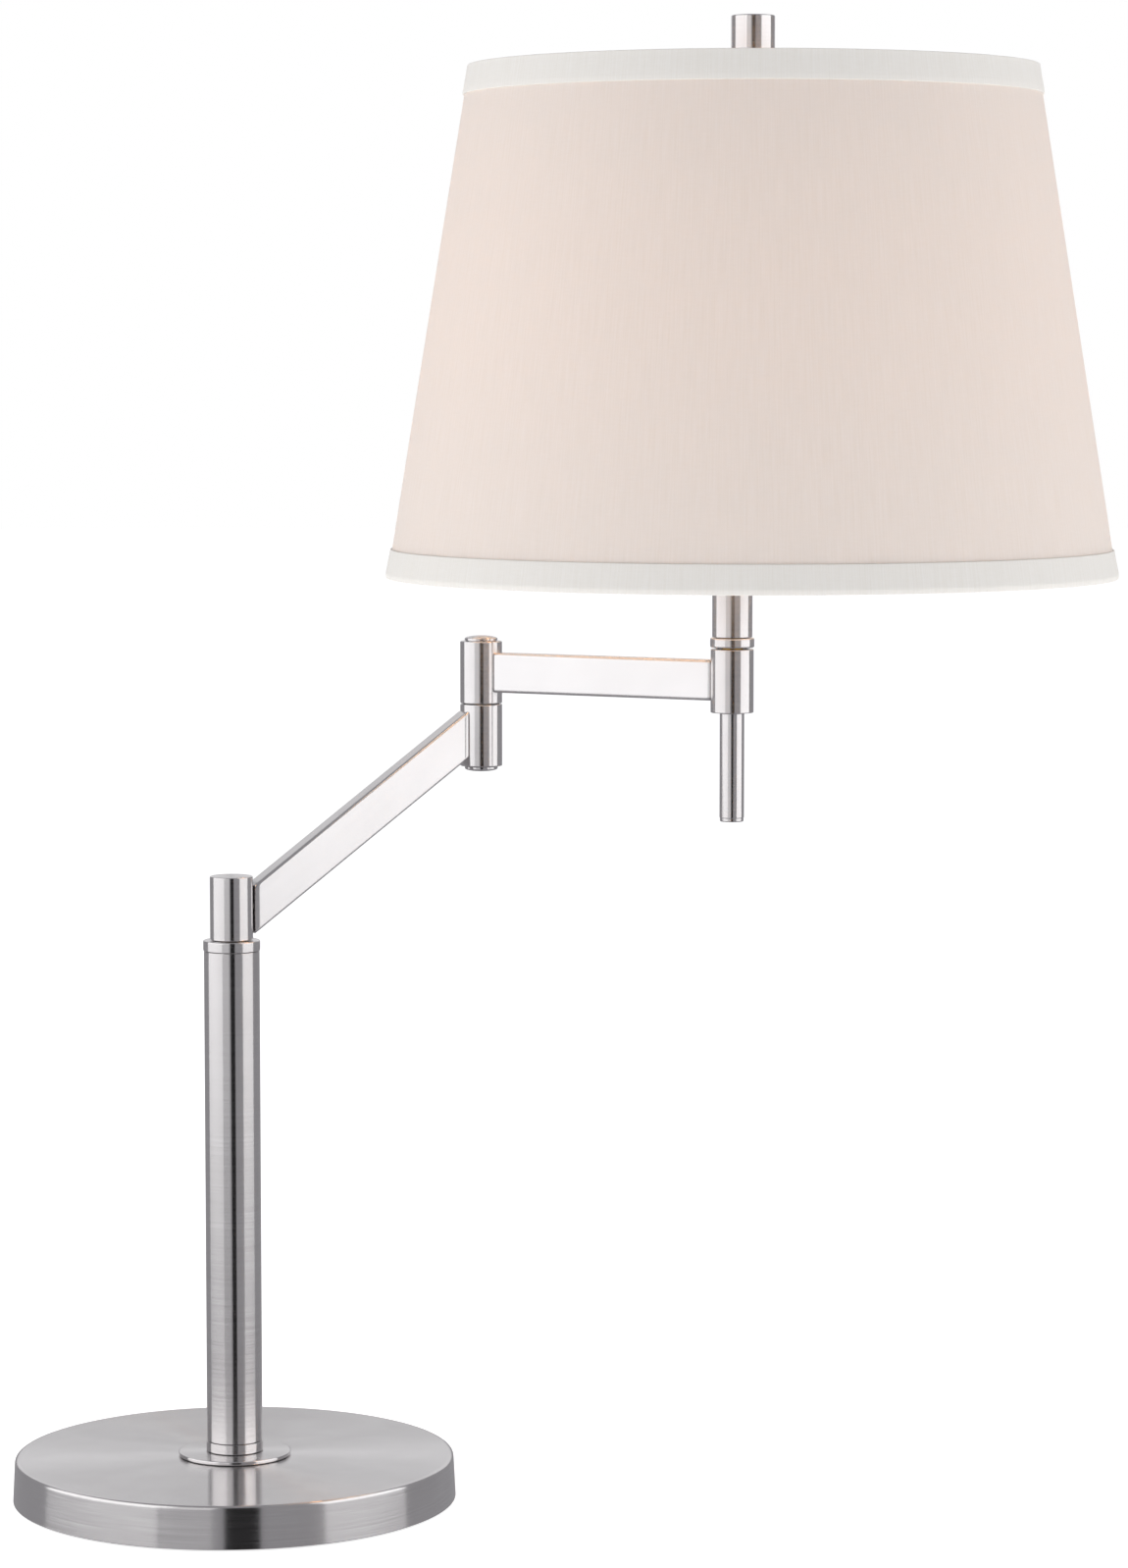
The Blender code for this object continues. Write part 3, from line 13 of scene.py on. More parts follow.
import bmesh
import bpy
import numpy as np
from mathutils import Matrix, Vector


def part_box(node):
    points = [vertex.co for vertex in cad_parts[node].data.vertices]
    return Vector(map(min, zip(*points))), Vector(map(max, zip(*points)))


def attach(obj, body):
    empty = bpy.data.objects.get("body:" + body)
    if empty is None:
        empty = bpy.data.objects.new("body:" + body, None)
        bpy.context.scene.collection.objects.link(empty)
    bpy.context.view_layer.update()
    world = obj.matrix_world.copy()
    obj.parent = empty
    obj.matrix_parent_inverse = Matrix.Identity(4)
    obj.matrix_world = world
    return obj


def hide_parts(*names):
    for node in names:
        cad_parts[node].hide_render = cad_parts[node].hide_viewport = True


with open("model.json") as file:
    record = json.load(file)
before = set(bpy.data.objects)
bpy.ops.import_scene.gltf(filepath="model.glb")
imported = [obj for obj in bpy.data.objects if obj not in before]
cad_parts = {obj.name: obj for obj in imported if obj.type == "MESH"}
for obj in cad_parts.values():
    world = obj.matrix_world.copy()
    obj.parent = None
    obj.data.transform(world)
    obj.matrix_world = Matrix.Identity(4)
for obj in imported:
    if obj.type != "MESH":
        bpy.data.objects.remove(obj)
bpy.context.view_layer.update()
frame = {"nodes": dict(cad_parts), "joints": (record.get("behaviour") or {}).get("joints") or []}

MM = 0.001
TAU = 2 * math.pi
UP = (0.0, 0.0, 1.0)
GAP = 0.3 * MM  # the clearance between two pieces that meet

joints = {joint["name"]: joint for joint in frame["joints"]}
elbow = np.array(joints["elbow_swivel"]["pos_m"][:2])
head = np.array(joints["head_swivel"]["pos_m"][:2])
pole = np.array(joints["pole_swivel"]["pos_m"][:2])

# %% [markdown]
# ## Tools
#
# Nearly every piece of this lamp was turned on a lathe, spun, bent from wire or drawn as a tube. Each of
# those is a function of two parameters, so a piece can be one grid of points: rows along its profile and
# columns around it. A grid that closes on itself repeats its first column at the end, and a row on the axis
# has all its points in one place. Both are merged afterwards, so seams and poles end up closed, while the
# flat map of the surface runs on without a jump.

# %% One grid becomes one mesh
MERGE = 0.002 * MM  # points nearer than this become one
SHARP = math.radians(32)  # an edge that turns by more than this stays crisp


def surface(name, points, flat, grain=None):
    """A mesh from a grid of points, rows by columns.

    flat holds each point's place on the surface's own flat map, in metres, and becomes the UV map. Its first
    number runs across the brushing or the weave, because a brushed metal's tangent follows that number. grain
    holds a place that never jumps at a seam, for patterns that go right round.
    """
    rows, columns = points.shape[:2]
    index = np.arange(rows * columns).reshape(rows, columns)
    corners = np.stack([index[:-1, :-1], index[1:, :-1], index[1:, 1:], index[:-1, 1:]], -1).reshape(-1, 4)
    mesh = bpy.data.meshes.new(name)
    mesh.vertices.add(rows * columns)
    mesh.vertices.foreach_set("co", points.astype(np.float32).ravel())
    mesh.loops.add(corners.size)
    mesh.loops.foreach_set("vertex_index", corners.astype(np.int32).ravel())
    mesh.polygons.add(len(corners))
    mesh.polygons.foreach_set("loop_start", np.arange(0, corners.size, 4, dtype=np.int32))
    mesh.update(calc_edges=True)
    uv = mesh.uv_layers.new(name="UVMap")
    uv.data.foreach_set("uv", flat.reshape(-1, 2)[corners.ravel()].astype(np.float32).ravel())
    if grain is not None:
        layer = mesh.attributes.new("grain", "FLOAT_VECTOR", "POINT")
        layer.data.foreach_set("vector", grain.astype(np.float32).ravel())
    close(mesh)
    made = bpy.data.objects.new(name, mesh)
    bpy.context.scene.collection.objects.link(made)
    return made


def close(mesh):
    """Merges a mesh's doubles, turns its faces outwards and keeps its sharp edges crisp."""
    bm = bmesh.new()
    bm.from_mesh(mesh)
    bmesh.ops.remove_doubles(bm, verts=bm.verts, dist=MERGE)
    bmesh.ops.recalc_face_normals(bm, faces=bm.faces)
    bm.to_mesh(mesh)
    bm.free()
    mesh.shade_smooth()
    mesh.set_sharp_from_angle(angle=SHARP)


# %% [markdown]
# A real edge is never perfectly sharp. It catches a thin line of light, and without it metal looks like
# paper. So every profile is first written with plain corners, and then each corner is swapped for a small
# curve. The curve could be an arc, but a quadratic curve between the two sides is shorter to write and looks
# the same at this size.

# %% Rounding a profile's corners
SIDE_SHARE = 0.42  # the most of a side that one corner's curve may take
HOLD = 1.18  # how far out a holding point stands, in lengths of the curve
HAIR = 0.1 * MM  # the rounding of an edge that stays nearly sharp


def rounded(corners, radius, steps=5, closed=False):
    """A polyline with its corners rounded.

    A corner C between the unit directions a and b becomes C + a d (1 - t)^2 + b d t^2, for t from 0 to 1. d
    is the radius, or less where a side is short. A holding point just past each end keeps the flats flat.
    """
    corners = np.array(corners, float)
    radius = np.broadcast_to(np.array(radius, float), len(corners))
    before = np.roll(corners, 1, axis=0) - corners
    after = np.roll(corners, -1, axis=0) - corners
    lengths = np.stack([np.linalg.norm(before, axis=1), np.linalg.norm(after, axis=1)], 1)
    reach = np.minimum(radius, SIDE_SHARE * lengths.min(axis=1))[:, None, None]
    a = (before / lengths[:, :1])[:, None]
    b = (after / lengths[:, 1:])[:, None]
    t = np.linspace(0, 1, steps)[None, :, None]
    curve = corners[:, None] + a * reach * (1 - t) ** 2 + b * reach * t**2
    hold_a = corners[:, None] + a * reach * HOLD
    hold_b = corners[:, None] + b * reach * HOLD
    curve = np.concatenate([hold_a, curve, hold_b], axis=1)
    if closed:
        line = curve.reshape(-1, corners.shape[1])
        return np.vstack([line, line[:1]])
    middle = curve[1:-1].reshape(-1, corners.shape[1])
    return np.vstack([corners[:1], middle, corners[-1:]])


def along(line):
    """The distance walked along a polyline, at each of its points."""
    return np.concatenate([[0.0], np.cumsum(np.linalg.norm(np.diff(line, axis=0), axis=1))])


# %% Turned pieces


def axes_of(direction):
    """Three directions at right angles, the last of them the given one."""
    last = np.array(direction, float) / np.linalg.norm(direction)
    # The helper may be any axis that isn't nearly along the given direction.
    helper = np.array([1.0, 0.0, 0.0]) if abs(last[0]) < 0.9 else np.array([0.0, 1.0, 0.0])
    middle = np.cross(last, helper)
    middle /= np.linalg.norm(middle)
    return np.stack([np.cross(middle, last), middle, last])


def turned(name, profile, centre, facets=96, direction=UP, swell=None):
    """A lathe-turned piece: each (r, h) of the profile goes round as centre + r cos A X + r sin A Y + h Z.

    X, Y and Z are the axes with Z along the direction. swell, if given, adds its value at (h, A) to the
    radius. The first column stands at the back, where a seam is least in the way.
    """
    profile = np.array(profile, float)
    turn = np.linspace(0, TAU, facets + 1) + TAU / 4
    x, y, z = axes_of(direction)
    radius = np.repeat(profile[:, :1], len(turn), axis=1)
    if swell is not None:
        radius = radius + np.where(radius > 0, swell(profile[:, 1:], turn[None]), 0.0)
    ring = np.cos(turn)[:, None] * x + np.sin(turn)[:, None] * y
    centre = np.array([*centre, 0.0]) if len(centre) == 2 else np.array(centre, float)
    points = centre + radius[..., None] * ring + profile[:, 1][:, None, None] * z
    walked = np.repeat(along(profile)[:, None], len(turn), axis=1)
    size = profile[:, 0].max()
    flat = np.stack([walked, np.broadcast_to(turn * size, walked.shape)], -1)
    around = np.broadcast_to(np.stack([np.cos(turn), np.sin(turn)], -1) * size, (*walked.shape, 2))
    return surface(name, points, flat, np.concatenate([around, walked[..., None]], -1))


# %% Wires and bars

def capped(points, path):
    """A grid closed at both ends, by a row that stays at the path's first point and one at its last."""
    first, last = (np.broadcast_to(end, points[:1].shape) for end in (path[:1, None], path[-1:, None]))
    return np.concatenate([first, points, last], axis=0)


def swept(name, path, radius, sides, beside=(0.0, 1.0, 0.0)):
    """A round wire along a path: at each point a circle across the path's direction T.

    The circle is spanned by T x beside and by that crossed with T again, so beside must never point along T.
    """
    heading = np.gradient(path, axis=0)
    heading /= np.linalg.norm(heading, axis=1)[:, None]
    side = np.cross(heading, beside)
    side /= np.linalg.norm(side, axis=1)[:, None]
    over = np.cross(side, heading)
    turn = np.linspace(0, TAU, sides + 1)
    ring = side[:, None] * np.cos(turn)[None, :, None] + over[:, None] * np.sin(turn)[None, :, None]
    points = capped(path[:, None] + radius * ring, path)
    walked = along(points[:, 0])[:, None].repeat(len(turn), axis=1)
    across = np.broadcast_to(turn * radius, walked.shape)
    grain = np.stack(np.broadcast_arrays(radius * np.cos(turn), radius * np.sin(turn), walked), -1)
    return surface(name, points, np.stack([walked, across], -1), grain)


def measure(node):
    """An upright round node's radius, bottom and top."""
    low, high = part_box(node)
    return max(high.x - low.x, high.y - low.y) / 2, low.z, high.z


def made_of(piece, material, body, slot, *nodes):
    """Gives a piece its material and its body, and hides the solids that it stands for. slot is not used."""
    if not piece.data.materials:
        piece.data.materials.append(material)
    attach(piece, body)
    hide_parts(*nodes)
    piece.data.calc_loop_triangles()
    print(f"{piece.name}: {len(piece.data.loop_triangles)} triangles on {body}")
    return piece


def bored(piece, radius, start, end):
    """Drills a round hole through a piece, from one point to another, and keeps only the result."""
    start, end = np.array(start, float), np.array(end, float)
    length = np.linalg.norm(end - start)
    corners = [(0, 0), (radius, 0), (radius, length), (0, length)]
    drill = turned("drill", corners, start, facets=32, direction=end - start)
    cut = piece.modifiers.new("hole", "BOOLEAN")
    cut.operation, cut.solver, cut.object = "DIFFERENCE", "EXACT", drill
    seen = piece.evaluated_get(bpy.context.evaluated_depsgraph_get())
    result = bpy.data.meshes.new_from_object(seen)
    piece.modifiers.clear()
    old, piece.data = piece.data, result
    result.name = piece.name
    bpy.data.meshes.remove(old)
    bpy.data.objects.remove(drill)
    return piece


# %% [markdown]
# ## Finishes
#
# A material is a small graph of nodes. One function adds a node, sets it and links it, so the graph can be
# read from top to bottom like a recipe. Colours are written as the hex values that a paint card or a screen
# gives, and one function turns them into the linear light that the renderer adds up.

# %% Colours and nodes


def linear(colour):
    """sRGB hex to linear: c / 12.92 for a channel up to 0.04045, and ((c + 0.055) / 1.055) ^ 2.4 above it."""
    c = np.array([int(colour[k : k + 2], 16) for k in (1, 3, 5)]) / 255
    return (*np.where(c <= 0.04045, c / 12.92, ((c + 0.055) / 1.055) ** 2.4), 1.0)


def add(tree, kind, sockets=None, **settings):
    """Adds a shader node. Each socket gets a value, or is fed by an output or by a node's first output."""
    made = tree.nodes.new("ShaderNode" + kind)
    for key, value in settings.items():
        setattr(made, key, value)
    for key, value in (sockets or {}).items():
        source = value.outputs[0] if isinstance(value, bpy.types.Node) else value
        if isinstance(source, bpy.types.NodeSocket):
            tree.links.new(source, made.inputs[key])
        else:
            made.inputs[key].default_value = source
    return made


def blank(name):
    """A new material with nothing in it but its output, and the tree that its nodes go in."""
    material = bpy.data.materials.new(name)
    material.use_nodes = True
    material.node_tree.nodes.clear()
    return material, material.node_tree


# A Mix node has one set of sockets for each kind of data, so its colour sockets are reached by number.
FACTOR, COLOUR_A, COLOUR_B, MIXED = 0, 6, 7, 2

# %% [markdown]
# ### Brushed nickel
#
# The real finish is nickel plate, brushed with a fine abrasive belt while the piece turns, then lacquered.
# The scratches all run one way, so a reflection stays crisp along them and smears out across them. That is
# what an anisotropic highlight is, and it makes the soft upright bands on the pole and the fan of light on
# the base. Real scratches are about a tenth of a millimetre apart, too fine to see from here, so they are
# drawn five to ten times as coarse. They change the roughness and the tone a little, and they tilt the
# surface very slightly.

# %% Brushed nickel
LINE_PITCH = 0.7 * MM  # across the scratches
LINE_LENGTH = 45 * MM  # along them
CLOUD_SIZE = 30 * MM  # the slow change of tone where the belt pressed harder
LINE_DEPTH = 0.15 * MM  # deeper than real scratches, as they are coarser
ROUGH_SWING = 0.12  # how far the roughness swings to each side, as a share of it


def brushed_nickel(name, roughness, anisotropy, light="#e8e6e6", dark="#dedbdb", tilt=0.012):
    """Nickel plate with scratches that follow the piece's own grain and tangent."""
    material, tree = blank(name)
    grain = add(tree, "Attribute", attribute_name="grain", attribute_type="GEOMETRY").outputs["Vector"]
    stretch = (1 / LINE_LENGTH, 1 / LINE_LENGTH, 1 / LINE_PITCH)
    along_lines = add(tree, "VectorMath", {0: grain, 1: stretch}, operation="MULTIPLY")
    lines = add(tree, "TexNoise", {"Vector": along_lines, "Scale": 1.0, "Detail": 3.0, "Roughness": 0.6})
    clouds = add(tree, "TexNoise", {"Vector": grain, "Scale": 1 / CLOUD_SIZE, "Detail": 2.0})
    tone = add(tree, "Math", {0: lines, 1: clouds}, operation="MULTIPLY")
    spread = add(tree, "MapRange", {"Value": tone, "From Min": 0.12, "From Max": 0.42})
    tones = {FACTOR: spread, COLOUR_A: linear(dark), COLOUR_B: linear(light)}
    colour = add(tree, "Mix", tones, data_type="RGBA").outputs[MIXED]
    swing = {"To Min": roughness * (1 - ROUGH_SWING), "To Max": roughness * (1 + ROUGH_SWING)}
    rough = add(tree, "MapRange", {"Value": lines, "From Min": 0.3, "From Max": 0.7, **swing})
    bump = add(tree, "Bump", {"Height": lines, "Strength": tilt, "Distance": LINE_DEPTH})
    tangent = add(tree, "Tangent", direction_type="UV_MAP", uv_map="UVMap")
    finish = {"Base Color": colour, "Metallic": 1.0, "Roughness": rough, "Anisotropic": anisotropy}
    shader = add(tree, "BsdfPrincipled", {**finish, "Tangent": tangent, "Normal": bump})
    add(tree, "OutputMaterial", {"Surface": shader})
    return material


nickel_base = brushed_nickel("brushed_nickel_spun_base", 0.21, 1.0)
nickel_round = brushed_nickel("brushed_nickel_turned", 0.21, 0.97)
nickel_arm = brushed_nickel("brushed_nickel_arm", 0.2, 0.9, light="#e9e7e7", dark="#e3e1e1", tilt=0.006)
print("three nickel finishes:", nickel_base.name, nickel_round.name, nickel_arm.name)

# %% [markdown]
# ### The plain metals and plastics
#
# Hidden pieces have finishes too: the zinc-plated pipe and nut, the brass studs and socket, the sand-cast
# weight, the nylon bearings and the lead's sheath. They share one recipe. A coarse noise changes the colour,
# a finer one changes the roughness and tilts the surface, and each finish has its own sizes for both.

# %% Zinc, brass, iron, nylon and the rest
GRIT_TILT = 0.35  # how strongly every grit tilts the surface


def plain_finish(name, colours, metallic, roughness, grit, depth, blotch=8 * MM, ior=1.5):
    """A finish from two colours, a roughness range, the size of its grit and how deep that grit is."""
    material, tree = blank(name)
    place = add(tree, "TexCoord").outputs["Object"]
    blotches = add(tree, "TexNoise", {"Vector": place, "Scale": 1 / blotch, "Detail": 4.0})
    grains = add(tree, "TexNoise", {"Vector": place, "Scale": 1 / grit, "Detail": 3.0})
    tones = {FACTOR: blotches, COLOUR_A: linear(colours[0]), COLOUR_B: linear(colours[1])}
    colour = add(tree, "Mix", tones, data_type="RGBA").outputs[MIXED]
    rough = add(tree, "MapRange", {"Value": grains, "To Min": roughness[0], "To Max": roughness[1]})
    bump = add(tree, "Bump", {"Height": grains, "Strength": GRIT_TILT, "Distance": depth})
    finish = {"Base Color": colour, "Metallic": metallic, "Roughness": rough, "IOR": ior, "Normal": bump}
    shader = add(tree, "BsdfPrincipled", finish)
    add(tree, "OutputMaterial", {"Surface": shader})
    return material


# Zinc plate is bright but clouded, with a bluish cast from its passivation.
zinc = plain_finish("zinc_plated_steel", ("#b4b8ba", "#d2d5d6"), 1.0, (0.26, 0.44), 0.5 * MM, 0.02 * MM)
# Drawn brass is yellow and a little dull where hands and the air have touched it.
brass = plain_finish("drawn_brass", ("#b98f4e", "#dab36b"), 1.0, (0.2, 0.36), 0.4 * MM, 0.02 * MM)
# Sand-cast iron keeps the sand's grain and a dull black oil finish.
cast_iron = plain_finish("sand_cast_iron", ("#1b1b1c", "#2e2d2d"), 0.6, (0.6, 0.9), 1.2 * MM, 0.4 * MM)
# Moulded phenolic is nearly black, even and slightly glossy.
phenolic = plain_finish("moulded_phenolic", ("#131313", "#1b1a19"), 0.0, (0.28, 0.42), 0.3 * MM, 0.01 * MM)
# Turned nylon is creamy and waxy.
nylon = plain_finish(
    "turned_nylon", ("#d9d5ca", "#e6e3da"), 0.0, (0.38, 0.5), 0.4 * MM, 0.01 * MM, ior=1.53
)
# The lead's soft vinyl sheath is ivory and smooth.
sheath = plain_finish("vinyl_lead_sheath", ("#d8d4c6", "#e4e1d6"), 0.0, (0.35, 0.5), 0.5 * MM, 0.01 * MM)
# Needled felt is fibres lying every way: no gloss at all, and a rough pile that shows at the edge.
felt = plain_finish(
    "needled_felt", ("#141415", "#242424"), 0.0, (0.92, 1.0), 0.7 * MM, 0.6 * MM, blotch=3 * MM
)
print("seven plain finishes")

# %% Finishes for the solids that stay as they are
kept_finishes = {
    zinc: ["pipe_nut", "pipe_washer", "pole_pipe", "rod_nut"],
    brass: ["pole_stud", "elbow_stud", "neck_pipe", "switch_shaft"],
    cast_iron: ["base_weight"],
    nylon: ["pole_bushing", "elbow_bushing", "head_bushing", "elbow_washer"],
    phenolic: ["socket_body"],
    sheath: ["lead_in_pole", "lead_in_lower_arm", "lead_in_upper_arm", "lead_in_neck"],
}
for finish, nodes in kept_finishes.items():
    for node in nodes:
        frame["nodes"][node].data.materials.clear()
        frame["nodes"][node].data.materials.append(finish)
print("finishes on", sum(len(nodes) for nodes in kept_finishes.values()), "kept solids")

# %% [markdown]
# ## The base
#
# The base is a steel dish spun over a former, with its edge rolled over and its rim just clear of the table.
# An iron weight fills it, and a felt pad closes it from below. A turned profile gives the dish, with a real
# hole at the back for the lead's outlet. The radius at the foot is a millimetre more than at the top, so the
# side leans back a little, and that lean is what lets it mirror the room and not just the table.

# %% The spun cover
BASE_ROLL = 1.7 * MM
BASE_LEAN = 1.0 * MM
COVER_WALL = 1.2 * MM
COVER_HEM = 0.2 * MM
OUTLET_RADIUS = 4.2 * MM
OUTLET_REACH = 9 * MM  # how far the outlet's drill goes to each side of the wall
foot, cover_low, base_top = measure("base_cover")
pipe_hole = measure("pole_pipe")[0] + GAP
lip = foot - BASE_LEAN
cover_corners = [
    (pipe_hole, base_top),
    (lip, base_top),
    (foot, cover_low + COVER_HEM),
    (foot - COVER_WALL / 2, cover_low),
    (foot - COVER_WALL, cover_low + COVER_HEM),
    (lip - COVER_WALL, base_top - COVER_WALL),
    (pipe_hole, base_top - COVER_WALL),
]
cover_rounds = np.array([0.1, BASE_ROLL / MM, 0.3, 0.4, 0.3, 0.8, 0.1]) * MM
cover_profile = rounded(cover_corners, cover_rounds, steps=7, closed=True)
spun_cover = turned("spun_base_cover", cover_profile, pole, facets=240)

outlet_low, outlet_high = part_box("cord_outlet")
outlet_height = (outlet_low.z + outlet_high.z) / 2
drill_from, drill_to = ((0, foot + step, outlet_height) for step in (-OUTLET_REACH, OUTLET_REACH))
bored(spun_cover, OUTLET_RADIUS + GAP, drill_from, drill_to)
made_of(spun_cover, nickel_base, "base", "brushed_nickel", "base_cover")

# %% The felt pad and the outlet's bush
PAD_EDGE = 0.9 * MM
pad_radius, pad_low, pad_top = measure("base_pad")
pad_corners = [(0, pad_low), (pad_radius, pad_low), (pad_radius, pad_top), (0, pad_top)]
felt_pad = turned("felt_pad", rounded(pad_corners, PAD_EDGE), pole, facets=160)
made_of(felt_pad, felt, "base", "felt", "base_pad")

OUTLET_BORE = 2.6 * MM
OUTLET_FLANGE = 1.5 * MM
outlet_lip = (outlet_high.x - outlet_low.x) / 2
outlet_length = outlet_high.y - outlet_low.y
outlet_corners = [
    (OUTLET_BORE, 0.0),
    (outlet_lip, 0.0),
    (outlet_lip, OUTLET_FLANGE),
    (OUTLET_RADIUS, OUTLET_FLANGE),
    (OUTLET_RADIUS, outlet_length),
    (OUTLET_BORE, outlet_length),
]
outlet_profile = rounded(outlet_corners, np.array([0.9, 0.6, 0.3, 0.2, 0.3, 0.3]) * MM, closed=True)
outlet_place = (0, outlet_high.y, outlet_height)
bush = turned("outlet_bush", outlet_profile, outlet_place, facets=64, direction=(0, -1, 0))
made_of(bush, phenolic, "base", "black_plastic", "cord_outlet")

# %% [markdown]
# ## The pole
#
# A flange sits on the base, then a low ring, the tube itself and a collar at the top. They're separate turned
# pieces screwed up against each other on one pipe, so thin dark joints show between them. The pieces keep the
# small gaps that the solids have, and those gaps draw the joints.

# %% Flange, rings and tube


def turned_tube(name, node, bore, edge, centre=pole, facets=128):
    """A plain tube with rounded edges, as wide and as tall as the solid that it stands for."""
    radius, low, high = measure(node)
    corners = [(bore, low), (radius, low), (radius, high), (bore, high)]
    rounds = np.array([HAIR, edge, edge, HAIR])
    return turned(name, rounded(corners, rounds, closed=True), centre, facets)


POLE_WALL = 1.5 * MM
COLLAR_BORE = 6.3 * MM
pole_radius, pole_low, pole_high = measure("pole_tube")
flange = turned_tube("flange", "pole_flange", pipe_hole, edge=0.6 * MM, facets=160)
made_of(flange, nickel_base, "base", "brushed_nickel", "pole_flange")
pole_tube = turned_tube("pole_sleeve", "pole_tube", pole_radius - POLE_WALL, edge=0.25 * MM)
made_of(pole_tube, nickel_round, "base", "brushed_nickel", "pole_tube")
spigot = pole_radius - POLE_WALL - GAP


def spigot_ring(name, node, bore, free_end, seat, tip, rounds):
    """A ring from its free end to its seat on the tube, with a spigot that goes into the tube to its tip."""
    radius = measure(node)[0]
    corners = [(bore, free_end), (radius, free_end), (radius, seat)]
    corners += [(spigot, seat), (spigot, tip), (bore, tip)]
    profile = rounded(corners, np.array(rounds) * 0.1 * MM, closed=True)
    return made_of(turned(name, profile, pole, facets=128), nickel_round, "base", "brushed_nickel", node)


ring_low, spigot_top = measure("pole_low_ring")[1:]
spigot_ring("low_ring", "pole_low_ring", pipe_hole, ring_low, pole_low - GAP, spigot_top, [1, 3, 3, 1, 3, 1])
spigot_low, collar_top = measure("pole_top_collar")[1:]
collar_seat, collar_rounds = pole_high + GAP, [1, 5, 2, 1, 3, 1]
spigot_ring("top_collar", "pole_top_collar", COLLAR_BORE, collar_top, collar_seat, spigot_low, collar_rounds)

# %% [markdown]
# ## Barrels, caps and grub screws
#
# Each swivel is a short barrel with a nylon-lined bore. A grub screw through its back wall runs in a groove
# of the stud inside, so that the arm can turn but not lift off. The barrels are turned tubes with a real hole
# for that screw. The two at the elbow are closed by domed caps, whose low dome is an ellipse in section.

# %% Barrels
BORE = 7.3 * MM
EDGE, FILLET = 0.45 * MM, 0.3 * MM  # the rounding of an outer edge and of an inner corner
SCREW_HOLE = 1.5 * MM
THREAD_HOLE = 3.3 * MM
STUD_HOLE = 5.3 * MM
END_WALL = 2.5 * MM
WASHER_LIP = 1.4 * MM
WASHER_DEPTH = 1.3 * MM
WEB = 5.0 * MM
lower_heading = (elbow - pole) / np.linalg.norm(elbow - pole)
upper_heading = (head - elbow) / np.linalg.norm(head - elbow)


def back_of(heading):
    """The direction a quarter turn to the left of a heading, where the grub screws are."""
    return np.array([-heading[1], heading[0]])


def barrel(name, node, centre, heading, body, screw=None, closed=""):
    """A swivel's barrel, drilled where its grub screw goes in.

    closed is "top" for a solid end on top, "bottom" for a floor that the handle's thread passes through, and
    "washer" for a seat on top that holds the friction washer, with a web under it for the stud.
    """
    radius, low, high = measure(node)
    if closed == "top":
        inside = high - END_WALL
        corners = [(0, high), (radius, high), (radius, low), (BORE, low), (BORE, inside), (0, inside)]
        rounds = [0, EDGE, EDGE, HAIR, FILLET, 0]
    elif closed == "bottom":
        inside = low + END_WALL
        corners = [(THREAD_HOLE, low), (radius, low), (radius, high), (BORE, high), (BORE, inside)]
        corners += [(THREAD_HOLE, inside)]
        rounds = [HAIR, EDGE, EDGE, HAIR, FILLET, HAIR]
    elif closed == "washer":
        seat, step, web = radius - WASHER_LIP, high - WASHER_DEPTH, high - WASHER_DEPTH - WEB
        corners = [(seat, high), (radius, high), (radius, low), (BORE, low), (BORE, web)]
        corners += [(STUD_HOLE, web), (STUD_HOLE, step), (seat, step)]
        rounds = [HAIR, EDGE, EDGE, HAIR, FILLET, HAIR, HAIR, HAIR]
    else:
        corners = [(BORE, low), (radius, low), (radius, high), (BORE, high)]
        rounds = [HAIR, EDGE, EDGE, HAIR]
    made = turned(name, rounded(corners, rounds, closed=closed != "top"), centre, facets=96)
    if screw:
        height = sum(corner.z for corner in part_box(screw)) / 2
        start = np.array([*(centre + 0.5 * radius * back_of(heading)), height])
        bored(made, SCREW_HOLE, start, start + 2 * radius * np.array([*back_of(heading), 0]))
    return made_of(made, nickel_round, body, "brushed_nickel", node)


barrel("foot_barrel", "pole_barrel", pole, lower_heading, "lower_arm_body", "pole_grub_screw", "top")
barrel("elbow_barrel_low", "elbow_lower_barrel", elbow, lower_heading, "lower_arm_body", closed="washer")
barrel("elbow_barrel_high", "elbow_upper_barrel", elbow, upper_heading, "upper_arm_body", "elbow_grub_screw")
barrel("neck_barrel", "head_barrel", head, upper_heading, "upper_arm_body", "head_grub_screw", "bottom")

# %% Domed caps
CAP_RIM = 0.9 * MM
CAP_RISE = 2.3 * MM  # rim and dome together
CAP_EDGE = 0.15 * MM
DOME_START = 0.12  # where the dome's curve begins, in radians over the rim
STEM = BORE - GAP


def domed_cap(name, node, body, up):
    """A plug with a rim and a dome. The dome's height over the rim is an ellipse's, D sin A at R cos A."""
    radius, low, high = measure(node)
    rim = (high - CAP_RISE) if up > 0 else (low + CAP_RISE)
    tip, tail = (high, low) if up > 0 else (low, high)
    shoulder = rim + up * CAP_RIM
    angle = np.linspace(DOME_START, TAU / 4, 14)
    dome = np.stack([radius * np.cos(angle), shoulder + (tip - shoulder) * np.sin(angle)], 1)
    dome[-1] = (0, tip)
    stem = np.array([(0, tail), (STEM, tail), (STEM, rim), (radius, rim), (radius, shoulder)])
    stem = rounded(np.vstack([stem, dome[:1]]), CAP_EDGE)[:-1]
    made = turned(name, np.vstack([stem, dome]), elbow, facets=96)
    return made_of(made, nickel_base, body, "brushed_nickel", node)


domed_cap("elbow_cap_high", "elbow_top_cap", "upper_arm_body", 1)
domed_cap("elbow_cap_low", "elbow_bottom_cap", "lower_arm_body", -1)

# %% Grub screws
SCREW_FACE = 9.2 * MM  # from the barrel's axis to the screw's outer end
HEX_DEPTH = 1.3 * MM
HEX_SHARE = 0.62  # the socket's radius, as a share of the thread's
HEX_ROWS = 0.6  # the share of the profile's rows that come before the socket's
HEX_CUT = 0.9  # how fully the circle is cut to its flats


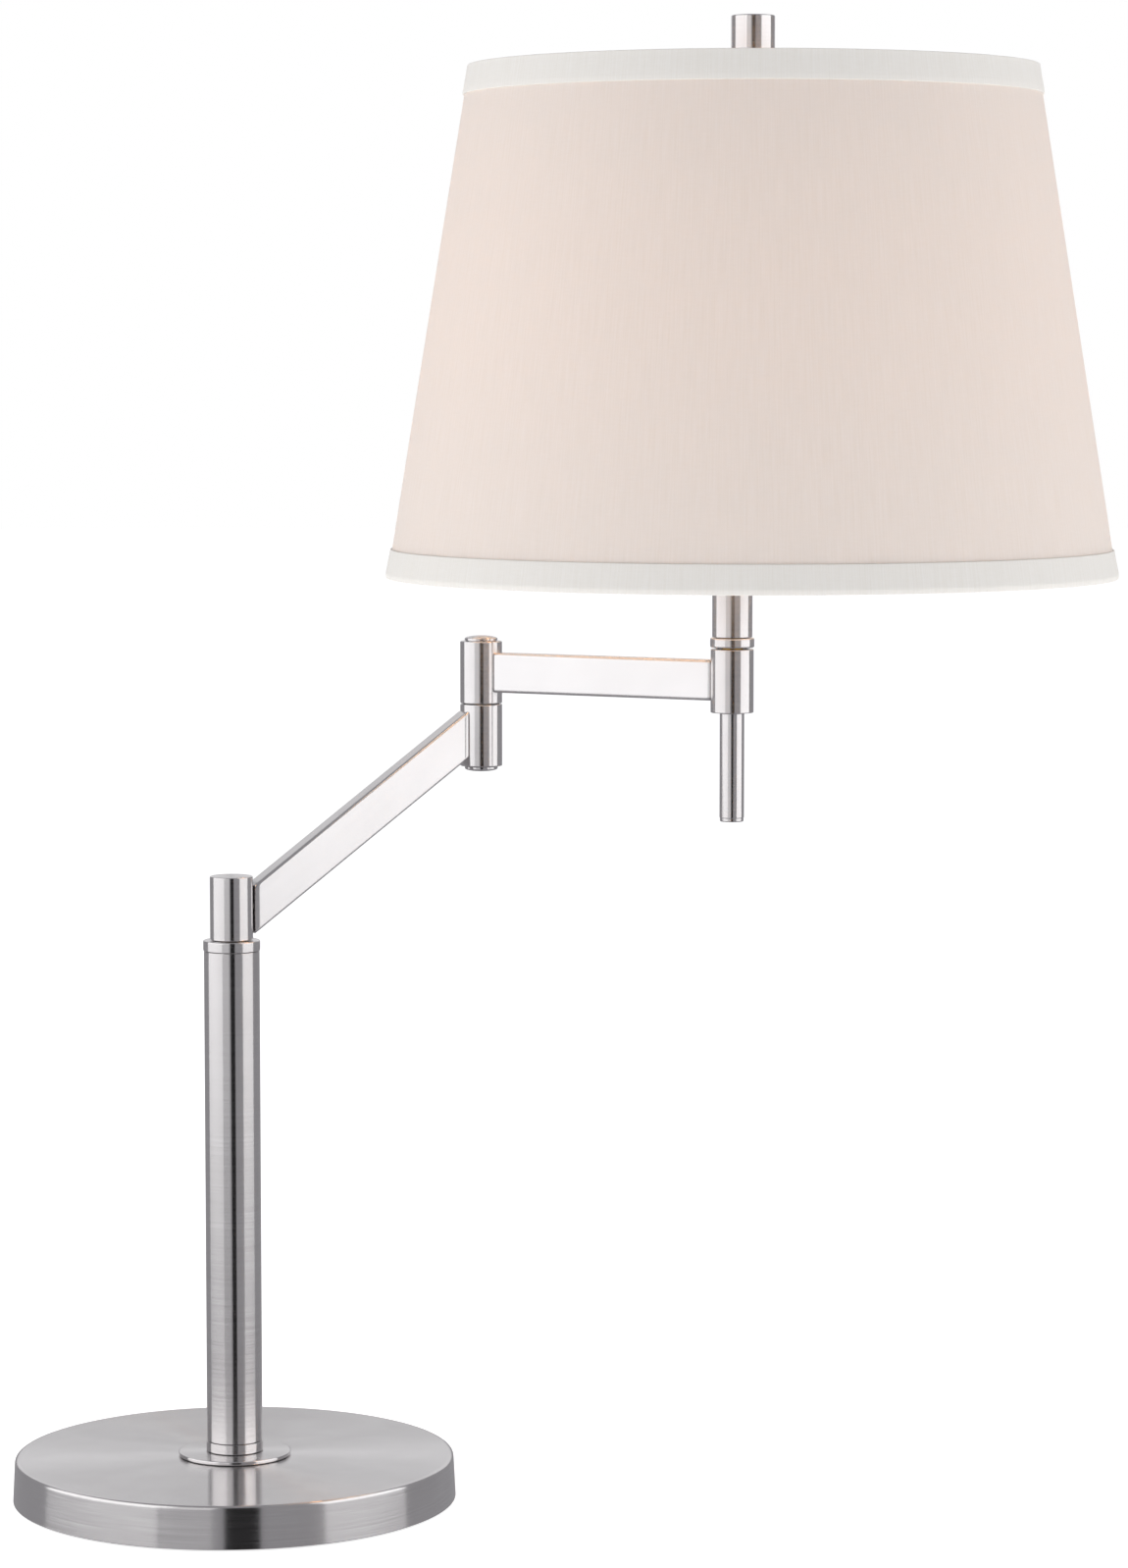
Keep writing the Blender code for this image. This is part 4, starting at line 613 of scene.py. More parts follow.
def grub_screw(name, node, centre, heading, body):
    """A headless screw with a six-sided socket: its walls are the circle cut at the nearest flat."""
    low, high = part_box(node)
    height = (low.z + high.z) / 2
    thread = (high.z - low.z) / 2
    middle = np.array([(low.x + high.x) / 2, (low.y + high.y) / 2])
    back = np.array([*back_of(heading), 0.0])
    length = (SCREW_FACE - np.dot(middle - centre, back[:2])) * 2
    start = np.array([*(centre + (SCREW_FACE - length) * back[:2]), height])
    socket, floor = HEX_SHARE * thread, length - HEX_DEPTH
    corners = [(0, 0), (thread, 0), (thread, length), (socket, length), (socket, floor), (0, floor)]
    profile = rounded(corners, np.array([0, 3, 2, 1, 1, 0]) * 0.1 * MM, steps=3)

    def hexagon(h, turn):
        inside = (np.arange(len(h))[:, None] > len(h) * HEX_ROWS) * 1.0
        flat = np.cos(TAU / 12) / np.cos((turn % (TAU / 6)) - TAU / 12)
        return inside * socket * (flat - 1.0) * HEX_CUT

    made = turned(name, profile, start, facets=36, direction=back, swell=hexagon)
    return made_of(made, zinc, body, "zinc_steel", node)


grub_screw("foot_screw", "pole_grub_screw", pole, lower_heading, "lower_arm_body")
grub_screw("elbow_screw", "elbow_grub_screw", elbow, upper_heading, "upper_arm_body")
grub_screw("neck_screw", "head_grub_screw", head, upper_heading, "upper_arm_body")

# %% [markdown]
# ## The arms
#
# Each arm is a flat rectangular tube with softly rounded corners. Where it meets a barrel, its end is coped
# to the barrel's curve. A boolean could cut that end, but it is shorter to work out where each line of the
# tube stops: a line that runs beside the middle by y meets a circle of radius R at R - sqrt(R^2 - y^2) less
# than straight on.

# %% Two arms
ARM_HEIGHT = 18.5 * MM
ARM_WIDTH = 9.0 * MM
ARM_CORNER = 1.5 * MM
ARM_LIP = 0.35 * MM
# How far in from the end, in lips, with the section's width and height there as shares of the whole.
EASED_END = [(0.0, 0.93, 0.965), (0.3, 0.98, 0.99)]
barrel_radius = measure("elbow_upper_barrel")[0]
cope = barrel_radius + GAP


def arm(name, node, body, start, heading, length, foot_z, slope, coped_foot):
    """A bar of rounded section from one axis to the next, rising by slope, its ends coped to the barrels.

    Its section is upright, so on a rising arm it is taller by sqrt(1 + slope^2).
    """
    upright = ARM_HEIGHT * math.sqrt(1 + slope**2)
    half_w, half_h = ARM_WIDTH / 2, upright / 2
    corners = [(-half_w, -half_h), (half_w, -half_h), (half_w, half_h), (-half_w, half_h)]
    outline = rounded(corners, ARM_CORNER, steps=9, closed=True)
    side, rise = outline[:, 0], outline[:, 1]
    none = np.zeros_like(side)
    meets = np.sqrt(cope**2 - side**2)
    first = meets if coped_foot else np.full_like(side, cope)
    last = length - meets
    lengths = first + (last - first) * np.linspace(0, 1, 40)[:, None]
    rows = [np.stack([none + first.mean(), none, none], 1)]
    rows += [np.stack([first + inset * ARM_LIP, side * w, rise * h], 1) for inset, w, h in EASED_END]
    rows += [np.stack([line, side, rise], 1) for line in np.clip(lengths, first + ARM_LIP, last - ARM_LIP)]
    rows += [np.stack([last - inset * ARM_LIP, side * w, rise * h], 1) for inset, w, h in EASED_END[::-1]]
    rows.append(np.stack([none + last.mean(), none, none], 1))
    local = np.stack(rows)
    ahead = np.array([*heading, 0.0])
    beside = np.array([*back_of(heading), 0.0])
    points = np.array([*start, 0.0]) + local[..., :1] * ahead + local[..., 1:2] * beside
    points[..., 2] += foot_z + slope * (local[..., 0] - cope) + local[..., 2]
    around = np.broadcast_to(along(outline), local.shape[:2])
    flat = np.stack([around, local[..., 0]], -1)
    wrap = along(outline)[-1] / TAU
    turn = around / wrap
    # The scratches run along the bar, so their pattern changes fast up the section and slowly along it.
    grain = np.stack([local[..., 0], 0 * around, local[..., 2] + 0.4 * wrap * np.cos(turn)], -1)
    made = surface(name, points, flat, grain)
    return made_of(made, nickel_arm, body, "brushed_nickel", node)


FOOT_DROP = 1.0 * MM  # from the barrel's middle down to the lower arm's middle
arm_length = np.linalg.norm(elbow - pole)  # both arms are equally long
barrel_low, barrel_high = measure("pole_barrel")[1:]
foot_height = (barrel_low + barrel_high) / 2 - FOOT_DROP
elbow_low, elbow_high = measure("elbow_lower_barrel")[1:]
slope = ((elbow_low + elbow_high) / 2 - foot_height) / (arm_length - barrel_radius - cope)
arm("arm_low", "lower_arm", "lower_arm_body", pole, lower_heading, arm_length, foot_height, slope, False)
arm_low, arm_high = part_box("upper_arm")
level = (arm_low.z + arm_high.z) / 2
arm("arm_high", "upper_arm", "upper_arm_body", elbow, upper_heading, arm_length, level, 0.0, True)

# %% [markdown]
# ## The handle, the neck ring and the neck
#
# The rod under the head is the handle that swings the lamp. It has a fine turned line near its end. Over the
# head barrel a ring and a tube cover the threaded pipe that carries the socket.

# %% Handle, ring and neck
THREAD_RADIUS = 3.0 * MM
LINE_HEIGHT = 1.7 * MM  # the turned line, over the rod's end
LINE_CUT = 0.2 * MM
rod_radius, rod_low, thread_top = measure("handle_rod")
rod_top = measure("head_barrel")[1] - GAP
groove = rod_low + LINE_HEIGHT
rod_corners = [
    (0, rod_low),
    (rod_radius - LINE_CUT, rod_low),
    (rod_radius - LINE_CUT, groove),
    (rod_radius, groove + LINE_CUT),
    (rod_radius, rod_top),
    (THREAD_RADIUS, rod_top),
    (THREAD_RADIUS, thread_top),
    (0, thread_top),
]
rod_profile = rounded(rod_corners, np.array([0, 5, 1, 1, 1.5, 1, 3, 0]) * 0.1 * MM)
handle = turned("handle", rod_profile, head, facets=80)
made_of(handle, nickel_round, "upper_arm_body", "brushed_nickel", "handle_rod")

NECK_WALL = 1.2 * MM
neck_bore = measure("neck_tube")[0] - NECK_WALL
neck_ring = turned_tube("ring_of_neck", "neck_ring", STUD_HOLE, edge=0.7 * MM, centre=head, facets=96)
made_of(neck_ring, nickel_round, "head", "brushed_nickel", "neck_ring")
neck = turned_tube("neck_sleeve", "neck_tube", neck_bore, edge=0.25 * MM, centre=head, facets=96)
made_of(neck, nickel_round, "head", "brushed_nickel", "neck_tube")

# %% [markdown]
# ## The socket and its switch
#
# Inside the shade is a common medium-base lampholder: a spun brass cap, a shell with two pressed beads and a
# turn knob of black phenolic. The screw shell is a real helix. Its radius is R + a sin(A + 2 pi h / pitch),
# so it joins up with itself after each turn.

# %% Cap, shell, screw shell and knob
SOCKET_WALL = 0.8 * MM
CAP_SEAT = 7.5 * MM  # the cap's flat bottom, from the axis
socket_radius, socket_low, socket_cap_top = measure("socket_cap")
tall = socket_cap_top - socket_low
socket_inside = socket_radius - SOCKET_WALL
cap_corners = [
    (STUD_HOLE, socket_low),
    (CAP_SEAT, socket_low),
    (0.8 * socket_radius, socket_low + 0.2 * tall),
    (socket_radius, socket_low + 0.5 * tall),
    (socket_radius, socket_cap_top),
    (socket_inside, socket_cap_top),
    (socket_inside, socket_low + 0.56 * tall),
    (0.8 * socket_radius - SOCKET_WALL, socket_low + 0.3 * tall),
    (CAP_SEAT, socket_low + 0.4 * tall),
    (STUD_HOLE, socket_low + 0.4 * tall),
]
cap_rounds = np.array([0.2, 1, 2.5, 2.5, 0.2, 0.2, 1, 1, 1, 0.2]) * MM
cap_profile = rounded(cap_corners, cap_rounds, steps=7, closed=True)
spun_cap = turned("socket_cap_spun", cap_profile, head, facets=96)
made_of(spun_cap, brass, "head", "brass", "socket_cap")

BEAD = 0.45 * MM
BEAD_WIDTH = 1.2 * MM
BEAD_HEIGHTS = (9 * MM, 30 * MM)
SHELL_EDGE = 0.5 * MM  # where the shell's wall starts to turn in at each end
SWITCH_HOLE = 2.2 * MM
_, shell_low, shell_high = measure("socket_shell")


def upright(radius, low, high, rows):
    """A straight wall of a profile, as rows of (radius, height)."""
    return np.stack([np.full(rows, radius), np.linspace(low, high, rows)], 1)


def beads(h, turn):
    """Two pressed beads: a bump of exp(-(distance / width)^2) at each of two heights."""
    places = [shell_low + height for height in BEAD_HEIGHTS]
    return sum(-BEAD * np.exp(-(((h - place) / BEAD_WIDTH) ** 2)) for place in places) + 0 * turn


shell_span = (shell_low + SHELL_EDGE, shell_high - SHELL_EDGE, 70)
outer_line = upright(socket_radius, *shell_span)
inner_line = upright(socket_inside, *shell_span)[::-1]
edge_radius = socket_radius - GAP
shell_line = [[(edge_radius, shell_low)], outer_line, [(edge_radius, shell_high)], inner_line]
shell_line = np.vstack([*shell_line, [(edge_radius, shell_low)]])
shell = turned("socket_shell_pressed", shell_line, head, facets=96, swell=beads)
switch_z = joints["switch_turn"]["pos_m"][2]
drill_from, drill_to = ((*(head - (0, share * socket_radius)), switch_z) for share in (0.8, 2))
bored(shell, SWITCH_HOLE, drill_from, drill_to)
made_of(shell, brass, "head", "brass", "socket_shell")

PITCH = 3.63 * MM  # seven threads to the inch, as on every medium screw base
THREAD = 0.5 * MM
SCREW_WALL = 0.6 * MM


def thread(h, turn):
    """A rounded screw thread."""
    return THREAD * (np.sin(turn - TAU * h / PITCH) - 1) / 2


screw_radius, screw_low, screw_high = measure("screw_shell")
screw_out = upright(screw_radius, screw_low, screw_high, 60)
screw_in = upright(screw_radius - SCREW_WALL, screw_low, screw_high, 60)[::-1]
screw_line = np.vstack([screw_out, screw_in, screw_out[:1]])
screw = turned("screw_shell_rolled", screw_line, head, facets=72, swell=thread)
made_of(screw, brass, "head", "brass", "screw_shell")

KNOB_BORE = 1.9 * MM
KNOB_BORE_DEPTH = 9.3 * MM
KNOB_TAPER = 0.5 * MM
KNOB_CHAMFER = 1 * MM
FLUTES = 14
FLUTE_DEPTH = 0.45 * MM
knob_low, knob_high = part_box("switch_knob")
knob_centre = np.array([(knob_low.x + knob_high.x) / 2, knob_high.y, (knob_low.z + knob_high.z) / 2])
knob_radius = (knob_high.z - knob_low.z) / 2
knob_length = knob_high.y - knob_low.y
knob_corners = [
    (KNOB_BORE, 0),
    (knob_radius - KNOB_TAPER, 0),
    (knob_radius, knob_length - KNOB_CHAMFER),
    (knob_radius - KNOB_CHAMFER, knob_length),
    (0, knob_length),
]
knob_profile = rounded(knob_corners, np.array([0, 0.4, 0.9, 0.9, 0]) * MM)
knob_profile = np.vstack([[(0, KNOB_BORE_DEPTH), (KNOB_BORE, KNOB_BORE_DEPTH)], knob_profile])


def fluted(h, turn):
    """Flutes for the fingers: the radius drops by (1 - cos(n A)) / 2 of their depth, and not on the face.

    They fade in over three rows after the bore's rows, and out over three before the rows of the face.
    """
    row = np.arange(len(h))[:, None]
    side = np.clip((row - 4) / 3, 0, 1) * np.clip((len(h) - 7 - row) / 3, 0, 1)
    return -FLUTE_DEPTH * side * (1 - np.cos(FLUTES * turn)) / 2


knob = turned("turn_knob", knob_profile, knob_centre, facets=112, direction=(0, -1, 0), swell=fluted)
made_of(knob, phenolic, "switch", "black_plastic", "switch_knob")

# %% [markdown]
# ## The bulb
#
# A warm opal bulb lights the shade from inside. The glass is coated with a fine white powder that spreads the
# light, so the whole pear glows evenly. Here the glass itself gives off that light, and it shows through the
# shade and in the mirrors of the neck and the arms.

# %% Opal glass
BULB_LIGHT = 9.0
POWDER = 2 * MM  # the size of the powder's clouds


def opal_glass():
    """Powder-coated glass that glows warm white."""
    material, tree = blank("opal_glass_bulb")
    place = add(tree, "TexCoord").outputs["Object"]
    powder = add(tree, "TexNoise", {"Vector": place, "Scale": 1 / POWDER, "Detail": 2.0})
    tones = {FACTOR: powder, COLOUR_A: linear("#f1ece2"), COLOUR_B: linear("#fbf8f2")}
    colour = add(tree, "Mix", tones, data_type="RGBA").outputs[MIXED]
    glass = {"Base Color": colour, "Roughness": 0.3, "IOR": 1.52, "Coat Weight": 0.6, "Coat Roughness": 0.1}
    glow = {"Emission Color": linear("#ffb56b"), "Emission Strength": BULB_LIGHT}
    shader = add(tree, "BsdfPrincipled", {**glass, **glow})
    add(tree, "OutputMaterial", {"Surface": shader})
    return material


belly, glass_low, glass_top = measure("bulb_glass")
NECK_OF_BULB = 12.6 * MM
crown = glass_top - belly
fall = np.linspace(0, 1, 30)
blend = (1 + np.cos(math.pi * fall)) / 2
throat = np.stack([NECK_OF_BULB + (belly - NECK_OF_BULB) * blend, crown + (glass_low - crown) * fall], 1)
arc = np.linspace(TAU / 4, 0, 24)
dome = np.stack([belly * np.cos(arc), crown + belly * np.sin(arc)], 1)
dome[0] = (0, glass_top)
glass_line = np.vstack([dome, throat[1:], [(0, glass_low)]])
opal = opal_glass()
made_of(turned("bulb_pear", glass_line, head, facets=72), opal, "head", "opal_glass", "bulb_glass")

CAP_TIP = 4 * MM  # from the contact up to the first thread
CONTACT_RISE = 1 * MM
cap_radius, cap_low, cap_high = measure("bulb_cap")
contact = [(0, cap_low), (0.35 * cap_radius, cap_low), (0.5 * cap_radius, cap_low + CONTACT_RISE)]
cap_line = np.vstack([contact, upright(cap_radius, cap_low + CAP_TIP, cap_high, 50), [(0, cap_high)]])
bulb_cap = turned("bulb_screw_cap", cap_line, head, facets=72, swell=thread)
made_of(bulb_cap, zinc, "head", "zinc_steel", "bulb_cap")

# %% [markdown]
# ## The harp and its saddle
#
# A harp is a loop of brass wire that holds the shade above the bulb. Its legs rise straight from the saddle,
# swell out round the glass in half a wave, and close in an arch. This one leans a little to one side, as they
# do once somebody has knocked the shade. The lean grows smoothly from nothing at the feet.

# %% The harp's wire
wire_low, wire_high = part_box("harp_wire")
saddle_low, saddle_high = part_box("harp_saddle")
shade_low, shade_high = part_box("shade_shell")
shade_axis = np.array([(shade_low.x + shade_high.x) / 2, (shade_low.y + shade_high.y) / 2])
SWAY = shade_axis[0] - head[0]
HARP_WIRE = 1.4 * MM
HARP_FOOT = 25 * MM
HARP_HALF = 50 * MM
TAB_HEIGHT = 24 * MM
KNEE = 1.1  # where a leg begins to swell, in heights of the tabs
WIDEST = 0.42  # where the harp is widest, on its way from the knee to the top
ARCH_POWER = 0.8  # under 1, the arch has fuller shoulders than an ellipse
harp_top = wire_high.z - HARP_WIRE
knee = saddle_low.z + KNEE * TAB_HEIGHT
widest = knee + WIDEST * (harp_top - knee)
feet = saddle_low.z + TAB_HEIGHT


def sway(height):
    """How far the harp leans at a height: s^2 (3 - 2 s) of the whole, with s from its feet to its top."""
    s = np.clip((height - feet) / (harp_top - feet), 0, 1)
    return SWAY * s * s * (3 - 2 * s)


climb = np.linspace(0, 1, 40)
leg = np.stack([np.full(8, HARP_FOOT), np.linspace(wire_low.z, knee, 8, endpoint=False)], 1)
swelling = HARP_FOOT + (HARP_HALF - HARP_FOOT) * (1 - np.cos(math.pi * climb)) / 2
swell = np.stack([swelling, knee + (widest - knee) * climb], 1)
quarter = np.linspace(0, TAU / 4, 60)[1:]
arching = HARP_HALF * np.cos(quarter).clip(0) ** ARCH_POWER
arch = np.stack([arching, widest + (harp_top - widest) * np.sin(quarter)], 1)
arch[-1, 0] = 0
half_harp = np.vstack([leg, swell, arch])
loop = np.vstack([half_harp * (-1, 1), half_harp[:-1][::-1]])
harp_path = np.stack([head[0] + loop[:, 0] + sway(loop[:, 1]), np.full(len(loop), head[1]), loop[:, 1]], 1)
harp = swept("harp_loop", harp_path, HARP_WIRE, sides=20)
made_of(harp, brass, "head", "brass", "harp_wire")

# %% Saddle, sleeves and stud
SADDLE_WIDTH = 16 * MM
TAB_WIDTH = 3.6 * MM
SHEET = 1.1 * MM


def bent_strip(name, path, widths, thickness):
    """A strip of sheet metal bent along a path in the XZ plane: a box section of varying width."""
    heading = np.gradient(path, axis=0)
    heading /= np.linalg.norm(heading, axis=1)[:, None]
    normal = np.stack([-heading[:, 1], heading[:, 0]], 1)
    corners = rounded([(-1, -1), (1, -1), (1, 1), (-1, 1)], 0.12, steps=3, closed=True)
    flat_y = corners[None, :, 0] * widths[:, None] / 2
    offset = corners[None, :, 1] * thickness / 2
    place = [path[:, :1] + normal[:, :1] * offset, flat_y + head[1], path[:, 1:] + normal[:, 1:] * offset]
    points = capped(np.stack(place, -1), np.stack([path[:, 0], np.full(len(path), head[1]), path[:, 1]], 1))
    walked = np.broadcast_to(along(points.mean(axis=1))[:, None], points.shape[:2])
    across = np.broadcast_to(along(corners) * thickness, points.shape[:2])
    return surface(name, points, np.stack([across, walked], -1))


SADDLE_BEND = 2.2 * MM
SADDLE_REACH = 4 * MM  # how far the drill goes to each side of the strip
NARROWS_AT, NARROWS_OVER = 0.55, 0.35  # in shares of the way from the middle out to a tab
tab_x = (saddle_high.x - saddle_low.x) / 2 - SHEET / 2
base_z = saddle_low.z + SHEET / 2
u_corners = [(-tab_x, saddle_high.z), (-tab_x, base_z), (tab_x, base_z), (tab_x, saddle_high.z)]
u_path = rounded(u_corners, SADDLE_BEND, steps=9)
stretches = [np.linspace(a, b, 12, endpoint=False) for a, b in zip(u_path, u_path[1:])]
u_path = np.vstack([*stretches, u_path[-1:]])
off_middle = np.abs(u_path[:, 0]) / tab_x
narrow = np.clip((off_middle - NARROWS_AT) / NARROWS_OVER, 0, 1)
widths = SADDLE_WIDTH + (TAB_WIDTH - SADDLE_WIDTH) * narrow**2 * (3 - 2 * narrow)
u_path = u_path + np.array([head[0], 0])
saddle = bent_strip("saddle_strip", u_path, widths, SHEET)
drill_from, drill_to = ((*head, saddle_low.z + step) for step in (-SADDLE_REACH, SADDLE_REACH))
bored(saddle, STUD_HOLE, drill_from, drill_to)
made_of(saddle, zinc, "head", "zinc_steel", "harp_saddle")

SLEEVE_WALL = 0.7 * MM
SLEEVE_WAIST = 0.35 * MM
SLEEVE_EDGE = 0.3 * MM
SLEEVE_BAND, SLEEVE_SLOPE = 2 * MM, 2.6 * MM  # from an end to the waist's first and last edge
for side_name in ("left", "right"):
    node = "harp_sleeve_" + side_name
    sleeve_low, sleeve_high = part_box(node)
    wide = (sleeve_high.y - sleeve_low.y) / 2
    bore, waist = wide - SLEEVE_WALL, wide - SLEEVE_WAIST
    sleeve_corners = [
        (bore, sleeve_low.z),
        (wide, sleeve_low.z),
        (wide, sleeve_low.z + SLEEVE_BAND),
        (waist, sleeve_low.z + SLEEVE_SLOPE),
        (waist, sleeve_high.z - SLEEVE_SLOPE),
        (wide, sleeve_high.z - SLEEVE_BAND),
        (wide, sleeve_high.z),
        (bore, sleeve_high.z),
    ]
    sleeve_place = ((sleeve_low.x + sleeve_high.x) / 2, head[1])
    sleeve_profile = rounded(sleeve_corners, SLEEVE_EDGE, steps=4, closed=True)
    ferrule = turned("sleeve_" + side_name, sleeve_profile, sleeve_place, facets=48)
    made_of(ferrule, brass, "head", "brass", node)

HUB_SHEET = 1.6 * MM
STUD_FLANGE = 7.4 * MM
STUD_FLANGE_HEIGHT = 2 * MM
STUD_BODY = 5.2 * MM
STUD_THREAD = 3.1 * MM
stud_low, stud_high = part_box("harp_stud")
stud_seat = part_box("finial")[0].z - GAP - HUB_SHEET - GAP
stud_corners = [
    (0, stud_low.z),
    (STUD_FLANGE, stud_low.z),
    (STUD_FLANGE, stud_low.z + STUD_FLANGE_HEIGHT),
    (STUD_BODY, stud_low.z + STUD_FLANGE_HEIGHT),
    (STUD_BODY, stud_seat),
    (STUD_THREAD, stud_seat),
    (STUD_THREAD, stud_high.z),
    (0, stud_high.z),
]
stud_profile = rounded(stud_corners, np.array([0, 6, 6, 3, 5, 2, 6, 0]) * 0.1 * MM)
stud = turned("fitter_stud", stud_profile, shade_axis, facets=64)
made_of(stud, brass, "head", "brass", "harp_stud")

# %% [markdown]
# ## The shade
#
# The shade is a tapered drum: cloth laminated to a stiff white lining, with a wire ring at its foot, a wire
# spider at its top, and a folded tape over each rim. The cloth is a plain weave of slubby yarn, brushed
# cotton or faux silk, cut in one piece with a glued lap at the back. The lap is a real step in the surface,
# and so is the end of each tape. All of them are turned surfaces, with the radius raised a little over the
# width of the lap.

# %% Cloth, lining and tape
YARN = 0.9 * MM  # real yarn is about 0.3 mm, drawn three times as coarse
SLUB_LENGTH = 26 * MM
WEFT_SHARE = 0.25  # the weft shows far less than the slubs
THREAD_RISE = 0.25 * MM


def shade_cloth(name, light, dark, glow_share, across, lengthwise, tilt):
    """Woven cloth that passes some light: a mix of a matt surface and a translucent one.

    across and lengthwise are the sizes of its threads in the two directions of the flat map.
    """
    material, tree = blank(name)
    flat = add(tree, "UVMap", uv_map="UVMap")
    slub_size, weft_size = (1 / SLUB_LENGTH, 1 / across, 1.0), (1 / lengthwise, 0.12 / across, 1.0)
    slub_place = add(tree, "VectorMath", {0: flat, 1: slub_size}, operation="MULTIPLY")
    slubs = add(tree, "TexNoise", {"Vector": slub_place, "Scale": 1.0, "Detail": 4.0, "Roughness": 0.62})
    weft_place = add(tree, "VectorMath", {0: flat, 1: weft_size}, operation="MULTIPLY")
    weft = add(tree, "TexNoise", {"Vector": weft_place, "Scale": 1.0, "Detail": 2.0})
    soft_weft = add(tree, "Math", {0: weft, 1: WEFT_SHARE}, operation="MULTIPLY")
    weave = add(tree, "Math", {0: slubs, 1: soft_weft}, operation="ADD")
    spread = add(tree, "MapRange", {"Value": weave, "From Min": 0.4, "From Max": 0.85})
    tones = {FACTOR: spread, COLOUR_A: linear(dark), COLOUR_B: linear(light)}
    colour = add(tree, "Mix", tones, data_type="RGBA").outputs[MIXED]
    bump = add(tree, "Bump", {"Height": weave, "Strength": tilt, "Distance": THREAD_RISE})
    fibre = {"Roughness": 0.92, "Specular IOR Level": 0.15, "Sheen Weight": 0.12, "Sheen Roughness": 0.5}
    matt = add(tree, "BsdfPrincipled", {"Base Color": colour, "Normal": bump, **fibre})
    through = add(tree, "BsdfTranslucent", {"Color": colour, "Normal": bump})
    mixed = add(tree, "MixShader", {0: glow_share, 1: matt, 2: through})
    add(tree, "OutputMaterial", {"Surface": mixed})
    return material


cloth = shade_cloth("slub_weave_shade_cloth", "#f3ede9", "#eee7e1", 0.3, YARN, 0.8 * MM, 0.15)
lining = shade_cloth("styrene_shade_lining", "#f7f4ef", "#f1eee8", 0.3, 4 * MM, 4 * MM, 0.03)
tape = shade_cloth("folded_rim_tape", "#f8f6f2", "#f2efe9", 0.15, 0.8 * MM, 0.9 * MM, 0.3)

# %% The shell and its tapes
SHADE_WALL = 1.2 * MM
SHELL_FACETS = 288
LAP_STEP = 0.4 * MM
LAP_EASE = 0.35  # the share of a lap's width over which it eases down
CLOTH_LAP, CLOTH_THICKNESS = 11 * MM, 0.25 * MM
bottom_z, top_z = shade_low.z, shade_high.z
wide_radius = (shade_high.x - shade_low.x) / 2
SHADE_TAPER = 37.1 * MM
narrow_radius = wide_radius - SHADE_TAPER
taper = (narrow_radius - wide_radius) / (top_z - bottom_z)


def cone(height):
    """The shade's outer radius at a height: a straight line from the foot's radius to the top's."""
    return wide_radius + taper * (height - bottom_z)


def lap(turn, azimuth, width, rise):
    """A glued lap: a step up at an azimuth, which stays up for a width along the rim and then eases down."""
    away = ((turn - TAU / 4 - azimuth + math.pi) % TAU - math.pi) * wide_radius
    up = np.clip(away / LAP_STEP, 0, 1)
    down = np.clip((width - away) / (LAP_EASE * width), 0, 1)
    return rise * np.minimum(up, down)


rows = np.linspace(0, 1, 26)
heights = bottom_z + (top_z - bottom_z) * rows
outside = np.stack([cone(heights), heights], 1)
inside = np.stack([cone(heights[::-1]) - SHADE_WALL, heights[::-1]], 1)
shell_profile = np.vstack([outside, inside, outside[:1]])


def back_lap(h, turn):
    """The cloth's lap at the back, on the outside only."""
    out = (np.arange(len(h)) < len(rows))[:, None]
    return out * lap(turn, 0.0, CLOTH_LAP, CLOTH_THICKNESS)


drum = turned("shade_drum", shell_profile, shade_axis, SHELL_FACETS, swell=back_lap)
drum.data.materials.append(cloth)
drum.data.materials.append(lining)
middles = np.zeros(len(drum.data.polygons) * 3, np.float32)
normals = np.zeros_like(middles)
drum.data.polygons.foreach_get("center", middles)
drum.data.polygons.foreach_get("normal", normals)
outward = ((middles.reshape(-1, 3)[:, :2] - shade_axis) * normals.reshape(-1, 3)[:, :2]).sum(axis=1)
drum.data.polygons.foreach_set("material_index", (outward < 0).astype(np.int32))
made_of(drum, cloth, "head", "shade_fabric", "shade_shell")

TAPE = 0.7 * MM  # how proud the tape stands
TAPE_IN = 7 * MM  # how far it goes down the inside
TURNED_IN = 0.35 * MM  # how thick it is there
TAPE_LAP, LAP_RISE = 13 * MM, 0.35 * MM
TAPE_SHOULDER = 1.5 * MM
TAPE_FOLD, FOLD_WALL = 0.55 * MM, 0.4 * MM  # how far the fold stands past the rim, and the tape's wall there
TAPE_RIPPLE = 0.05 * MM
GLUE, LINING_GAP = 0.06 * MM, 0.1 * MM
HEM = 2.2 * MM


